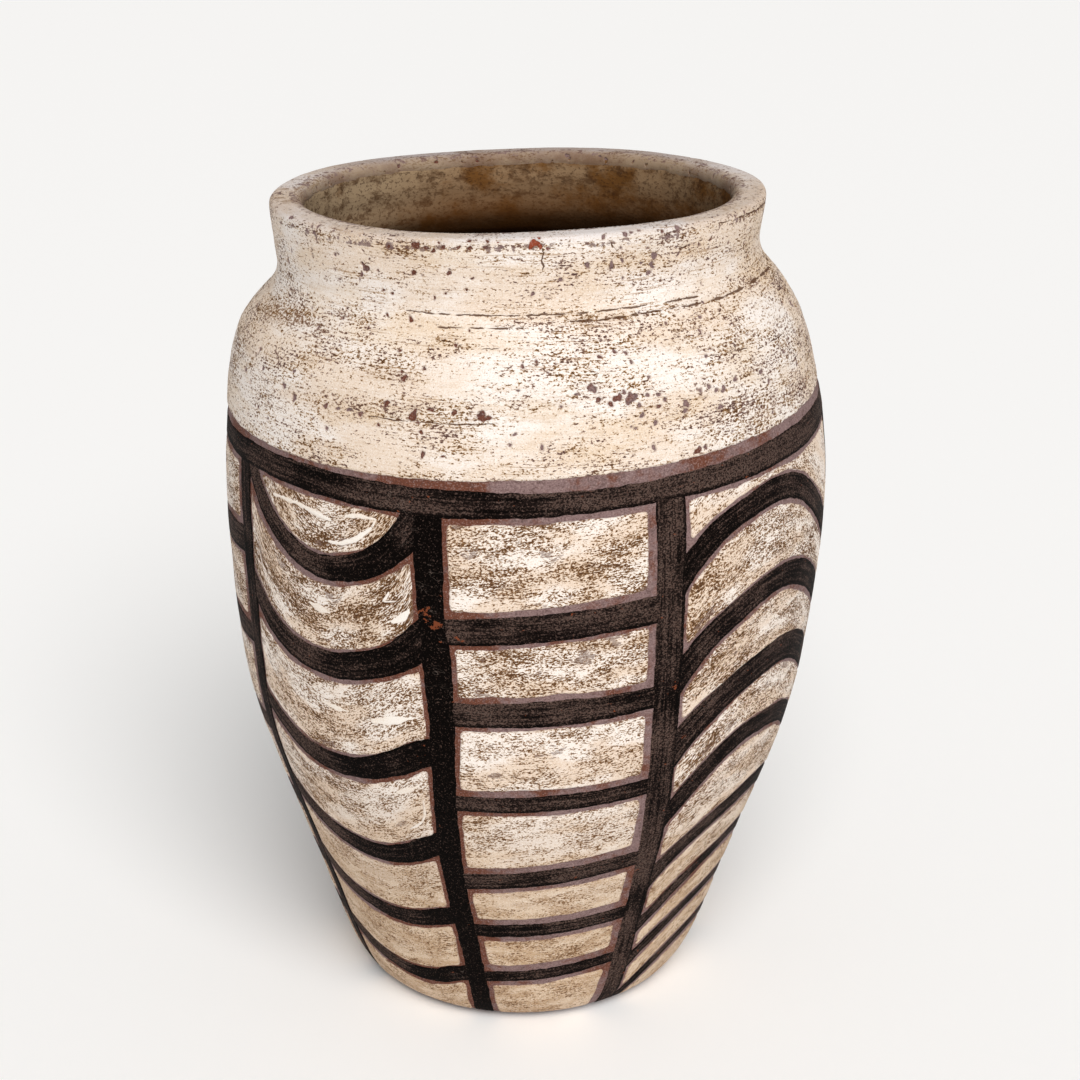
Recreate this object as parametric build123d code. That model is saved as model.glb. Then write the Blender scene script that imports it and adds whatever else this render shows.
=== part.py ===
from build123d import *
import math
import os

# Painted terracotta jar, millimetres. +Z is up, the origin is the middle of the
# resting face, -Y is the front and +X is to the right of a viewer in front.
# Azimuths are in degrees from the front, positive to the right.

HEIGHT = 400.0            # resting face to the top of the lip
BASE_THICK = 14.0         # floor slab
COAT = 0.6                # thickness of a slip layer
SLACK = 0.3               # gap left between neighbouring slip patches
JOINTS = (14.0, 150.0, 262.0, 352.0, 387.0)   # heights of the luted joins

# Outer surface of the finished jar from foot to neck root: (height, radius)
OUTER = [(0, 74.0), (3.5, 84.0), (11, 90.0), (24, 96.0), (40, 101.3), (64, 109.0),
         (96, 119.6), (128, 130.2), (160, 138.6), (192, 142.9), (224, 145.4),
         (256, 146.5), (288, 144.7), (320, 140.1), (336, 135.6), (344, 131.9),
         (352, 126.4), (358, 121.6), (364, 117.2), (369, 114.6)]
# Neck and lip, going up the outside and over to the inner edge of the mouth
NECK = [(369, 114.6), (374, 113.8), (381, 114.1), (389, 115.0), (395.0, 115.5),
        (398.0, 115.4), (399.4, 114.5), (399.95, 112.8), (HEIGHT, 109.5), (HEIGHT, 105.6),
        (399.6, 102.6), (398.4, 101.0), (396.4, 100.1), (393, 99.6)]
# Inside of the jar, from the inner edge of the mouth to the floor
INNER = [(393, 99.6), (384, 99.3), (374, 99.6), (366, 101.6), (360, 106.0),
         (354, 111.6), (346, 118.6), (336, 123.8), (320, 128.9),
         (288, 133.6), (256, 135.5), (224, 134.4), (192, 131.9), (160, 127.5),
         (128, 119.1), (96, 108.4), (64, 97.6), (40, 89.4), (26, 83.4),
         (18, 76.0), (BASE_THICK, 66.0)]

# The painted girdle: its plane leans with the hand that painted it
GIRDLE_TILT_X, GIRDLE_TILT_Y = 0.0403, 0.0307
CREAM_EDGE_Z = 309.1      # lower edge of the shoulder coat, on the axis
GIRDLE_TOP_Z = 303.4
GIRDLE_BOTTOM_Z = 293.4
FOOT_EDGE_Z = 7.0         # lowest paint

# Upright strokes: centre line as (height, azimuth), painted width as (height, width)
# and the width that the cream fields measure their margins from
BAR_A = [(-20, -61), (20, -61.5), (70, -62.7), (135, -63.2), (200, -61.9), (250, -61.7),
         (290, -62.9), (320, -63.3)]
BAR_B = [(-20, -12.5), (20, -12.6), (50, -13.7), (85, -15.2), (110, -15.7), (135, -15.4),
         (150, -15.1), (190, -14.8), (220, -15.4), (250, -16.3), (290, -17), (320, -17.2)]
BAR_C = [(-20, 29.4), (20, 29.2), (50, 29), (85, 28.8), (120, 28.1), (150, 26.9), (200, 26),
         (250, 25.4), (290, 25.2), (320, 25.1)]
WIDTH_A = [(0, 9.6), (100, 10.4), (200, 11), (300, 12.4)]
WIDTH_B = [(0, 9.4), (50, 9.8), (85, 10.2), (110, 10.8), (135, 10.8), (160, 11.2), (190, 11.9),
           (220, 12.6), (250, 12.6), (300, 12.8)]
WIDTH_C = [(0, 10.8), (50, 10.4), (100, 11.6), (150, 13.4), (200, 13.8), (250, 14.4), (300, 14.8)]
CLEAR_A = [(0, 9), (100, 9.4), (200, 9.8), (300, 11)]
CLEAR_B = [(0, 9.2), (50, 8.8), (100, 9.3), (150, 10), (190, 10.7), (220, 12), (250, 11.8),
           (300, 11.6)]
CLEAR_C = [(0, 10.4), (50, 9.2), (100, 11), (150, 11.6), (200, 12.2), (250, 13.2), (300, 14)]

# Strokes inside the bays of the front: (azimuth, height) along the stroke, the width
# that the fields measure from, and the painted width at its start, middle and end
LADDER = [([(-16.4, 234.9), (-12, 235.6), (4, 239.0), (20, 242.7), (26, 244.2)], 10.2, (12.8, 13.6, 13.0)),
          ([(-16, 194.7), (-10, 195.3), (5, 197.0), (20, 199.1), (27, 200.2)], 9.4, (12.2, 13.0, 11.2)),
          ([(-16, 147.1), (-10, 147.6), (5, 148.7), (20, 151.0), (27, 152.1)], 7.0, (9.6, 9.4, 9.4)),
          ([(-16, 97.6), (-10, 98.8), (5, 102.2), (20, 106.0), (28, 107.8)], 9.2, (11.4, 10.8, 10.0)),
          ([(-16, 64.6), (-10, 65.6), (5, 67.4), (20, 70.2), (29, 71.6)], 7.5, (8.6, 9.0, 8.6)),
          ([(-16, 32.4), (-10, 33.4), (5, 35.9), (20, 39.3), (29, 40.9)], 7.2, (7.2, 7.4, 7.2))]
SWAG = [([(-59.8, 289.5), (-58.5, 285.5), (-57, 280.5), (-53, 270.8), (-48, 262.3), (-43, 257.2), (-38, 255.2), (-33, 257.2),
          (-28, 261.9), (-24, 269.0), (-20.5, 278.8), (-18.5, 286), (-17.4, 290.0)], 10.6, (10.0, 11.6, 15.0)),
        ([(-62, 235.7), (-59, 227.6), (-55, 218.8), (-50, 212.2), (-45, 208.8), (-40, 207.9), (-35, 208.7), (-30, 212.0),
          (-25, 216.8), (-21, 223), (-18, 230.5), (-16.2, 235)], 12.2, (11.4, 12.4, 16.0)),
        ([(-62.5, 175), (-59, 168.8), (-55, 163.4), (-50, 157.9), (-45, 154.8), (-40, 154.2), (-35, 155.3), (-30, 158.7),
          (-25, 164.2), (-20, 171.0), (-15.8, 175.6)], 11.0, (9.6, 12.0, 13.8)),
        ([(-63, 125.5), (-59, 119), (-55, 114.2), (-50, 109.2), (-45, 106.4), (-40, 105.0), (-35, 104.7), (-30, 106.6),
          (-25, 110.8), (-20, 117.3), (-15.6, 122.8)], 9.8, (9.4, 11.2, 12.6)),
        ([(-63, 85), (-60, 80.5), (-55, 73), (-50, 68.7), (-45, 66.3), (-40, 65), (-35, 64.2), (-30, 65.0),
          (-25, 67.6), (-20, 71.4), (-15.2, 75)], 8.8, (8.0, 9.0, 11.0)),
        ([(-63, 41), (-60, 38.5), (-55, 34.6), (-50, 30.9), (-45, 28.0), (-40, 26.5), (-35, 25.4), (-30, 25.7),
          (-25, 27.4), (-20, 31.2), (-14, 35.2)], 7.8, (7.4, 9.0, 10.2))]
ARCH = [([(25.6, 247), (26.6, 252.5), (28, 258), (30, 263.4), (35, 273.4), (40, 278.4), (45, 281.5), (50, 282.8), (55, 281.8), (60, 277),
          (65, 269), (70, 259.7), (75, 250), (80, 240.4), (84, 232.6)], 10.6, (11.6, 11.2, 11.2)),
        ([(26, 198), (28, 206.5), (30, 213), (35, 224.8), (40, 231.4), (45, 236.4), (50, 239.0), (55, 239.0), (60, 236),
          (65, 230.2), (70, 223), (75, 215), (80, 206.8), (84.5, 199.4)], 11.6, (12.6, 12.6, 12.2)),
        ([(26, 158), (28, 166.2), (30, 173.0), (35, 183.6), (40, 191.0), (45, 195.8), (50, 198.7), (55, 199.6), (60, 198.0),
          (65, 193.6), (70, 187.2), (75, 179.5), (80, 171.8), (84.5, 164.8)], 12.0, (15.0, 15.4, 14.0)),
        ([(26, 114), (28, 123.0), (30, 130.6), (35, 145.0), (40, 155.4), (45, 161.6), (50, 163.8), (55, 163.3), (60, 161.5),
          (65, 157.6), (70, 151.8), (75, 144.6), (80, 137.4), (84.5, 131)], 10.0, (12.0, 11.6, 12.0)),
        ([(26.5, 74), (28.5, 81.8), (30, 87.4), (35, 100.4), (40, 109.1), (45, 114.8), (50, 118.4), (55, 120.8), (60, 121.8),
          (65, 120.2), (70, 116.3), (75, 110.3), (80, 104), (84.5, 98)], 9.8, (10.8, 10.6, 10.2)),
        ([(27, 45.5), (29, 51.3), (32, 58.8), (35, 64.6), (40, 74.4), (45, 81.6), (50, 86.6), (55, 89.4), (60, 90.8),
          (65, 89.8), (70, 86.4), (75, 80.9), (80, 74.4), (84.5, 68.6)], 8.6, (8.6, 7.8, 7.6)),
        ([(27, 21.5), (29, 26.5), (32, 33.6), (35, 39.4), (40, 47.2), (45, 53.4), (50, 58.0), (55, 60.6), (60, 61.8),
          (65, 61.2), (70, 58.4), (75, 53.4), (80, 47.8), (85, 42)], 8.0, (7.4, 6.8, 6.8)),
        ([(30.5, -3), (32, 1.8), (35, 9.8), (40, 19.4), (45, 26.6), (50, 31.8), (55, 34.8), (60, 36.2),
          (65, 35.9), (70, 33.4), (75, 29), (80, 24), (85, 19)], 7.6, (7.0, 6.6, 6.4))]

# Bare clay left round a cream field: below a stroke, above a stroke, beside the left
# bar, beside the right bar and under the girdle
LADDER_GAPS = (3.2, 4.5, 2.8, 4.4, 3.0)
SWAG_GAPS = (2.6, 1.5, 1.8, 2.3, 1.6)
ARCH_GAPS = (2.6, 1.5, 2.0, 2.0, 1.8)


def lerp(table, key):
    """Piecewise linear value from a list of (key, value)."""
    if key <= table[0][0]:
        return table[0][1]
    for (a, u), (b, v) in zip(table, table[1:]):
        if key <= b:
            return u + (v - u) * (key - a) / (b - a)
    return table[-1][1]


def shifted(points, amount):
    """Section points moved along their outward normal by amount."""
    out = []
    for i, (z, r) in enumerate(points):
        z0, r0 = points[max(i - 1, 0)]
        z1, r1 = points[min(i + 1, len(points) - 1)]
        dz, dr = z1 - z0, r1 - r0
        n = math.hypot(dz, dr)
        out.append((z - amount * dr / n, r + amount * dz / n))
    return out


def rz(points):
    return [(r, z) for z, r in points]


def ring(edges):
    """Solid of revolution about Z from a closed section in the XZ plane."""
    return revolve(Plane.XZ * make_face(edges), axis=Axis.Z, revolution_arc=360)


def slab(z0, z1, tilt=(0.0, 0.0)):
    """Everything between two heights, on planes that may lean."""
    plane = Plane(origin=(0, 0, z0), x_dir=(1, 0, tilt[0]), z_dir=(-tilt[0], -tilt[1], 1))
    across = math.sqrt(1 + tilt[0] ** 2 + tilt[1] ** 2)
    return extrude(plane * Rectangle(700, 700), amount=(z1 - z0) / across)


# ---- sections shared by the clay and by the coats that lie on it ----
# The clay stands one coat's thickness inside the finished surface.
body_in = shifted(OUTER, -COAT)
neck_in = shifted(NECK, -COAT)
inner_in = shifted(INNER, -COAT)
body_in[0] = (0.0, OUTER[0][1])
body_in[1] = (3.4, OUTER[1][1] - 0.4)
body_in[-1] = neck_in[0] = (369.0, 114.0)
neck_in[-1] = inner_in[0] = (392.9, 100.2)
inner_in[-1] = (BASE_THICK - COAT, INNER[-1][1])

wall_curve = Spline(*rz(body_in))
neck_curve = Spline(*rz(neck_in))
inside_curve = Spline(*rz(inner_in))

clay = ring([wall_curve, neck_curve, inside_curve,
             Line((INNER[-1][1], BASE_THICK - COAT), (0, BASE_THICK - COAT)),
             Line((0, BASE_THICK - COAT), (0, 0)),
             Line((0, 0), (OUTER[0][1], 0))])

levels = [-1.0] + list(JOINTS) + [HEIGHT + 20]
levels[1] = BASE_THICK - COAT
NAMES = ["base_disc", "lower_wall", "belly_wall", "shoulder_wall", "neck_collar", "rim_ring"]
parts = {}
for name, lo, hi in zip(NAMES, levels, levels[1:]):
    parts[name] = clay & slab(lo, hi)

# ---- the coats as whole thin rings ----
body_out = shifted(OUTER, 0.0)
body_out[0] = (0.0, OUTER[0][1] + COAT)
body_coat = ring([Spline(*rz(body_in)), Line(rz(body_in)[-1], rz(OUTER)[-1]),
                  Spline(*rz(body_out)), Line(rz(body_out)[0], rz(body_in)[0])])
parts["neck_coat"] = ring([Spline(*rz(neck_in)), Line(rz(neck_in)[-1], rz(NECK)[-1]),
                           Spline(*rz(NECK)), Line(rz(NECK)[0], rz(neck_in)[0])])
parts["inner_wash"] = ring([Spline(*rz(inner_in)),
                            Line(rz(inner_in)[-1], (INNER[-1][1], BASE_THICK)),
                            Spline(*rz(INNER)), Line(rz(INNER)[0], rz(inner_in)[0])])

tilt = (GIRDLE_TILT_X, GIRDLE_TILT_Y)
parts["shoulder_coat"] = body_coat & slab(CREAM_EDGE_Z, 420, tilt)
parts["girdle_band"] = body_coat & slab(GIRDLE_BOTTOM_Z, GIRDLE_TOP_Z, tilt)
field_coat = (body_coat & slab(FOOT_EDGE_Z, 340)) & slab(-60, GIRDLE_BOTTOM_Z - SLACK, tilt)


# ---- flat outlines in the tangent plane of a bay, pushed out through the coat ----
def bay_plane(azimuth):
    a = math.radians(azimuth)
    out = (math.sin(a), -math.cos(a), 0)
    return Plane(origin=(40 * out[0], 40 * out[1], 0), x_dir=(math.cos(a), math.sin(a), 0), z_dir=out)


def flat(azimuth, height, middle):
    r = lerp(OUTER, height)
    return (r * math.sin(math.radians(azimuth - middle)), height)


def smooth(points, steps=3):
    """More points on a curve through the given ones."""
    out = []
    n = len(points)
    for i in range(n - 1):
        p0, p1, p2, p3 = points[max(i - 1, 0)], points[i], points[i + 1], points[min(i + 2, n - 1)]
        for k in range(steps):
            t = k / steps
            out.append(tuple(0.5 * (2 * b + (c - a) * t + (2 * a - 5 * b + 4 * c - d) * t * t
                                    + (3 * b - a - 3 * c + d) * t ** 3)
                             for a, b, c, d in zip(p0, p1, p2, p3)))
    return out + [points[-1]]


def stroke_face(line, above, below):
    """Outline along a flat centre line; above and below give the half width on the
    two sides from the height and from the fraction of the length."""
    run = [0.0]
    for (x0, y0), (x1, y1) in zip(line, line[1:]):
        run.append(run[-1] + math.hypot(x1 - x0, y1 - y0))
    left, right = [], []
    for i, (x, y) in enumerate(line):
        x0, y0 = line[max(i - 1, 0)]
        x1, y1 = line[min(i + 1, len(line) - 1)]
        n = math.hypot(x1 - x0, y1 - y0)
        nx, ny = -(y1 - y0) / n, (x1 - x0) / n
        f = run[i] / run[-1]
        left.append((x + nx * above(y, f), y + ny * above(y, f)))
        right.append((x - nx * below(y, f), y - ny * below(y, f)))
    return make_face(Polyline(*(left + right[::-1]), close=True))


def run_on(line, amount):
    """A line carried on past both of its ends."""
    out = []
    for (x0, y0), (x1, y1) in ((line[1], line[0]), (line[-2], line[-1])):
        n = math.hypot(x1 - x0, y1 - y0)
        out.append((x1 + (x1 - x0) / n * amount, y1 + (y1 - y0) / n * amount))
    return [out[0]] + line + [out[1]]


def bar_line(table, shift, middle):
    heights = [-20, 15, 40, 70, 100, 135, 165, 200, 235, 270, 300, 340]
    return [flat(lerp(table, z) + shift, z, middle) for z in heights]


def pushed(faces, plane, coat):
    """The pieces of a coat that lie behind the given flat faces."""
    found = []
    for face in faces:
        piece = coat & extrude(plane * face, amount=170)
        if piece is not None:
            found += [s for s in piece.solids() if s.volume > 3.0]
    return found


def group(solids):
    return solids[0] if len(solids) == 1 else Compound(children=solids)


A, B, C = (BAR_A, WIDTH_A, CLEAR_A), (BAR_B, WIDTH_B, CLEAR_B), (BAR_C, WIDTH_C, CLEAR_C)
BARS = [(A, 0), (B, 0), (C, 0), (B, 99), (C, 99), (B, 180), (C, 180), (B, 270)]
for number, ((table, widths, _), turn) in enumerate(BARS, start=1):
    middle = lerp(table, 150) + turn
    half = lambda z, f, w=widths: lerp(w, z) / 2
    face = stroke_face(bar_line(table, turn, middle), half, half)
    parts["bar_%d" % number] = group(pushed([face], bay_plane(middle), field_coat))


def bay(strokes, home, left, right, gaps, lifts):
    """Strokes and cream fields of one bay between two upright strokes; the strokes are
    given between the bars of their home bay and are carried over to these."""
    below_gap, above_gap, left_gap, right_gap, girdle_gap = gaps
    (left_line, left_width, left_clear), left_turn = left
    (right_line, right_width, right_clear), right_turn = right
    middle = (lerp(left_line, 170) + left_turn + lerp(right_line, 170) + right_turn) / 2
    plane = bay_plane(middle)
    left_path = bar_line(left_line, left_turn, middle)
    right_path = bar_line(right_line, right_turn, middle)

    def carried(a, z):
        (start, _, _), start_turn = home[0]
        (end, _, _), end_turn = home[1]
        a0, b0 = lerp(start, z) + start_turn, lerp(end, z) + end_turn
        a1, b1 = lerp(left_line, z) + left_turn, lerp(right_line, z) + right_turn
        return a1 + (a - a0) / (b0 - a0) * (b1 - a1)

    def edge_bar(path, widths, extra):
        half = lambda z, f: lerp(widths, z) / 2 + extra
        return stroke_face(path, half, half)

    whole = make_face(Polyline(*(left_path + right_path[::-1]), close=True))
    inner = whole - edge_bar(left_path, left_width, SLACK) - edge_bar(right_path, right_width, SLACK)
    fields = whole - edge_bar(left_path, left_clear, left_gap) - edge_bar(right_path, right_clear, right_gap)
    lines = []
    for k, (points, clear, painted) in enumerate(strokes):
        lift = lifts[k] if k < len(lifts) else 0.0
        line = run_on([flat(carried(a, z), z + lift, middle) for a, z in smooth(points)], 3.0)
        spread = list(zip((0.08, 0.5, 0.92), painted))
        half = lambda z, f, w=spread: lerp(w, f) / 2
        above = lambda z, f, w=spread, c=clear: max(c / 2 + above_gap, lerp(w, f) / 2 + 0.4)
        below = lambda z, f, w=spread, c=clear: max(c / 2 + below_gap, lerp(w, f) / 2 + 0.4)
        lines += list((stroke_face(line, half, half) & inner).faces())
        fields = fields - stroke_face(line, above, below)
    stroke_solids = pushed(lines, plane, field_coat)
    field_faces = [f for f in fields.faces() if f.area > 60]
    field_solids = pushed(field_faces, plane, field_coat & slab(-60, GIRDLE_BOTTOM_Z - girdle_gap, tilt))
    return group(stroke_solids), group(field_solids)


LADDER_HOME, SWAG_HOME, ARCH_HOME = (BARS[1], BARS[2]), (BARS[0], BARS[1]), (BARS[2], BARS[3])
BAYS = [("ladder_rungs_1", "ladder_panels_1", LADDER, LADDER_HOME, BARS[1], BARS[2], LADDER_GAPS, ()),
        ("ladder_rungs_2", "ladder_panels_2", LADDER, LADDER_HOME, BARS[3], BARS[4], LADDER_GAPS, ()),
        ("ladder_rungs_3", "ladder_panels_3", LADDER, LADDER_HOME, BARS[5], BARS[6], LADDER_GAPS, ()),
        ("ladder_rungs_4", "ladder_panels_4", LADDER, LADDER_HOME, (B, -90), BARS[0], LADDER_GAPS, (6.0, 0.8)),
        ("swag_strokes_1", "swag_panels_1", SWAG, SWAG_HOME, BARS[0], BARS[1], SWAG_GAPS, ()),
        ("swag_strokes_2", "swag_panels_2", SWAG, SWAG_HOME, BARS[4], BARS[5], SWAG_GAPS, ()),
        ("arch_strokes_1", "arch_panels_1", ARCH, ARCH_HOME, BARS[2], BARS[3], ARCH_GAPS, ()),
        ("arch_strokes_2", "arch_panels_2", ARCH, ARCH_HOME, BARS[6], BARS[7], ARCH_GAPS, ())]
for stroke_name, field_name, strokes, home, left, right, gaps, lifts in BAYS:
    parts[stroke_name], parts[field_name] = bay(strokes, home, left, right, gaps, lifts)

os.makedirs("parts", exist_ok=True)
for name, shape in parts.items():
    export_step(shape, "parts/%s.step" % name)
print(len(parts), "nodes")
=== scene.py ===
import math

import bpy
import numpy as np
from mathutils import Matrix, Vector
from mathutils.geometry import delaunay_2d_cdt
from mathutils.kdtree import KDTree


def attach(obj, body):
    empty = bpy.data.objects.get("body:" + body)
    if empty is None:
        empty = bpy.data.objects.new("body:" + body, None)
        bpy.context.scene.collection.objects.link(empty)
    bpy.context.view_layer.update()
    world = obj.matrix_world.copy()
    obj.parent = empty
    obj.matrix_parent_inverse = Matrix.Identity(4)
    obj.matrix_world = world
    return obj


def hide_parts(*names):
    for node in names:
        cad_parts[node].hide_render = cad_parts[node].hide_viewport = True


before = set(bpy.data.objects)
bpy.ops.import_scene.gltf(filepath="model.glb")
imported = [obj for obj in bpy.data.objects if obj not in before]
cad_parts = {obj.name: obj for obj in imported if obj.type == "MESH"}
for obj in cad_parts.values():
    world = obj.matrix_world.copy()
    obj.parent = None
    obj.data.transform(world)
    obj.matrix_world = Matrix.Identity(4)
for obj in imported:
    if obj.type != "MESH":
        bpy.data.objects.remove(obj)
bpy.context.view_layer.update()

# Painted terracotta jar. Lengths below are in millimetres and azimuths in degrees
# from the front (-Y), positive to the right (+X); meshes are written in metres.

# ------------------------------------------------------------------ section
HEIGHT = 400.0
COAT = 0.6
BASE_THICK = 14.0
OUTER = [(0, 74.0), (3.5, 84.0), (11, 90.0), (24, 96.0), (40, 101.3), (64, 109.0),
         (96, 119.6), (128, 130.2), (160, 138.6), (192, 142.9), (224, 145.4),
         (256, 146.5), (288, 144.7), (320, 140.1), (336, 135.6), (344, 131.9),
         (352, 126.4), (358, 121.6), (364, 117.2), (369, 114.6)]
NECK = [(369, 114.6), (374, 113.8), (381, 114.1), (389, 115.0), (395.0, 115.5),
        (398.0, 115.4), (399.4, 114.5), (399.95, 112.8), (HEIGHT, 109.5), (HEIGHT, 105.6),
        (399.6, 102.6), (398.4, 101.0), (396.4, 100.1), (393, 99.6)]
INNER = [(393, 99.6), (384, 99.3), (374, 99.6), (366, 101.6), (360, 106.0),
         (354, 111.6), (346, 118.6), (336, 123.8), (320, 128.9),
         (288, 133.6), (256, 135.5), (224, 134.4), (192, 131.9), (160, 127.5),
         (128, 119.1), (96, 108.4), (64, 97.6), (40, 89.4), (26, 83.4),
         (18, 76.0), (BASE_THICK, 66.0)]


def shifted(points, amount):
    out = []
    for i, (z, r) in enumerate(points):
        z0, r0 = points[max(i - 1, 0)]
        z1, r1 = points[min(i + 1, len(points) - 1)]
        dz, dr = z1 - z0, r1 - r0
        n = math.hypot(dz, dr)
        out.append((z - amount * dr / n, r + amount * dz / n))
    return out


body_in = shifted(OUTER, -COAT)
neck_in = shifted(NECK, -COAT)
inner_in = shifted(INNER, -COAT)
body_in[0] = (0.0, OUTER[0][1])
body_in[1] = (3.4, OUTER[1][1] - 0.4)
body_in[-1] = (369.0, 114.0)
neck_in[-1] = (392.9, 100.2)
inner_in[-1] = (BASE_THICK - COAT, INNER[-1][1])
KNOTS = np.array([(r, z) for z, r in body_in + neck_in[1:] + inner_in[1:]], float)


def through(points, step=0.25):
    """Dense smooth curve through section points (centripetal)."""
    p = np.vstack([2 * points[0] - points[1], points, 2 * points[-1] - points[-2]])
    out = []
    for i in range(1, len(p) - 2):
        p0, p1, p2, p3 = p[i - 1:i + 3]
        t0 = 0.0
        t1 = t0 + np.linalg.norm(p1 - p0) ** 0.5
        t2 = t1 + np.linalg.norm(p2 - p1) ** 0.5
        t3 = t2 + np.linalg.norm(p3 - p2) ** 0.5
        n = max(2, int(np.linalg.norm(p2 - p1) / step))
        t = np.linspace(t1, t2, n, endpoint=False)[:, None]
        a1 = (t1 - t) / (t1 - t0) * p0 + (t - t0) / (t1 - t0) * p1
        a2 = (t2 - t) / (t2 - t1) * p1 + (t - t1) / (t2 - t1) * p2
        a3 = (t3 - t) / (t3 - t2) * p2 + (t - t2) / (t3 - t2) * p3
        b1 = (t2 - t) / (t2 - t0) * a1 + (t - t0) / (t2 - t0) * a2
        b2 = (t3 - t) / (t3 - t1) * a2 + (t - t1) / (t3 - t1) * a3
        out.append((t2 - t) / (t2 - t1) * b1 + (t - t1) / (t2 - t1) * b2)
    return np.vstack(out + [points[-1:]])


CURVE = through(KNOTS)
SR, SZ = CURVE[:, 0], CURVE[:, 1]
SS = np.concatenate([[0], np.cumsum(np.hypot(np.diff(SR), np.diff(SZ)))])
DR, DZ = np.gradient(SR, SS), np.gradient(SZ, SS)
LEN = np.hypot(DR, DZ)
NR, NZ = DZ / LEN, -DR / LEN
CREST = int(np.argmax(SZ))


def s_of(z):
    """Arc length up the outside of the clay at a height."""
    return np.interp(z, SZ[:CREST + 1], SS[:CREST + 1])


def s_in(z):
    """Arc length at a height on the inside."""
    return np.interp(-np.asarray(z, float), -SZ[CREST:], SS[CREST:])


def r_of(z):
    return np.interp(z, SZ[:CREST + 1], SR[:CREST + 1])


# Small departures of a hand-made jar from true: a lean, a neck set a little to
# one side, a rim that isn't quite level, and a body that isn't quite round.
LEAN, NECK_SHIFT = 0.008, -4.6
OVAL_Z = [0, 100, 120, 136, 160, 200, 220, 256, 280, 300, 312, 328, 340, 348, 352, 356, 360, 364, 368, 376, 400]
OVAL_D = [0, .1, .5, .4, 0, .1, .7, .75, .65, 0, -.9, -1.6, -1.5, 0, .9, 2.1, 2.5, 2.1, 1.3, .3, .1]


def ramp(x, a, b):
    t = np.clip((x - a) / (b - a), 0, 1)
    return t * t * (3 - 2 * t)


def place(theta, s, h):
    """Points on the jar: azimuth, arc length along the section, height off the clay."""
    theta, s, h = np.broadcast_arrays(np.asarray(theta, float), np.asarray(s, float), np.asarray(h, float))
    r = np.interp(s, SS, SR) + h * np.interp(s, SS, NR)
    z = np.interp(s, SS, SZ) + h * np.interp(s, SS, NZ)
    return bend(theta, r, z)


def bend(theta, r, z):
    a = np.radians(theta)
    sx, cx = np.sin(a), -np.cos(a)
    body = np.maximum(r_of(np.clip(z, 0, 398)), 60)
    wob = (0.35 * np.sin(2 * a + 0.7 + z * 0.004) + 0.25 * np.sin(3 * a + 2.1 - z * 0.006)
           + 0.12 * np.sin(7 * a + z * 0.02) + 0.10 * np.sin(z * 0.19 + 0.6 * np.sin(a)))
    r = r * (1 + (np.interp(z, OVAL_Z, OVAL_D) * sx + wob * ramp(z, 0, 25) * ramp(400 - z, -5, 25)) / body)
    lift = ramp(z, 335, 392) * (2.08 * sx - 0.84 * cx) * np.clip(r / 110, 0, 1.1)
    lift = lift + ramp(z, 372, 396) * (0.35 * np.sin(3 * a + 1.0) + 0.25 * np.sin(5 * a + 0.3))
    shift = NECK_SHIFT * ramp(z, 340, 380) + LEAN * z
    return np.stack([r * sx + shift, r * cx, z + lift], -1) * 0.001


# ------------------------------------------------------------------ noise
def lattice(ix, iy, seed):
    n = (ix.astype(np.int64) * 374761393 + iy.astype(np.int64) * 668265263 + seed * 1274126177) & 0x7FFFFFFF
    n = ((n ^ (n >> 13)) * 1103515245 + 12345) & 0x7FFFFFFF
    n = ((n ^ (n >> 16)) * 69069 + 7) & 0x7FFFFFFF
    return n / 0x7FFFFFFF * 2 - 1


def vnoise(x, y, seed=0):
    """Smooth value noise between -1 and 1, one bump per unit."""
    x, y = np.broadcast_arrays(np.asarray(x, float), np.asarray(y, float))
    ix, iy = np.floor(x), np.floor(y)
    fx, fy = x - ix, y - iy
    fx, fy = fx * fx * (3 - 2 * fx), fy * fy * (3 - 2 * fy)
    a, b = lattice(ix, iy, seed), lattice(ix + 1, iy, seed)
    c, d = lattice(ix, iy + 1, seed), lattice(ix + 1, iy + 1, seed)
    return (a * (1 - fx) + b * fx) * (1 - fy) + (c * (1 - fx) + d * fx) * fy


def fnoise(x, y, seed=0, octaves=3):
    total, amp, norm = 0.0, 1.0, 0.0
    for k in range(octaves):
        total = total + amp * vnoise(np.asarray(x) * 2 ** k + 17.3 * k, np.asarray(y) * 2 ** k - 9.1 * k, seed + 31 * k)
        norm += amp
        amp *= 0.5
    return total / norm


# ------------------------------------------------------------------ meshes
def make_object(name, verts, faces, material, nodes, floats=None):
    mesh = bpy.data.meshes.new(name)
    mesh.from_pydata([tuple(v) for v in verts], [], [tuple(int(i) for i in f) for f in faces])
    mesh.validate()
    for key, values in (floats or {}).items():
        layer = mesh.attributes.new(key, "FLOAT", "POINT")
        layer.data.foreach_set("value", np.asarray(values, np.float32))
    mesh.polygons.foreach_set("use_smooth", np.ones(len(mesh.polygons), bool))
    mesh.set_sharp_from_angle(angle=math.radians(50))
    mesh.update()
    obj = bpy.data.objects.new(name, mesh)
    bpy.context.scene.collection.objects.link(obj)
    obj.data.materials.append(material)
    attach(obj, "root")
    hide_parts(*nodes)
    return obj


def ring_faces(rows, cols):
    """Quads of a grid that closes both round the jar and along its section."""
    r, c = np.meshgrid(np.arange(rows), np.arange(cols), indexing="ij")
    r2, c2 = (r + 1) % rows, (c + 1) % cols
    return np.stack([r * cols + c, r * cols + c2, r2 * cols + c2, r2 * cols + c], -1).reshape(-1, 4)


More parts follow.
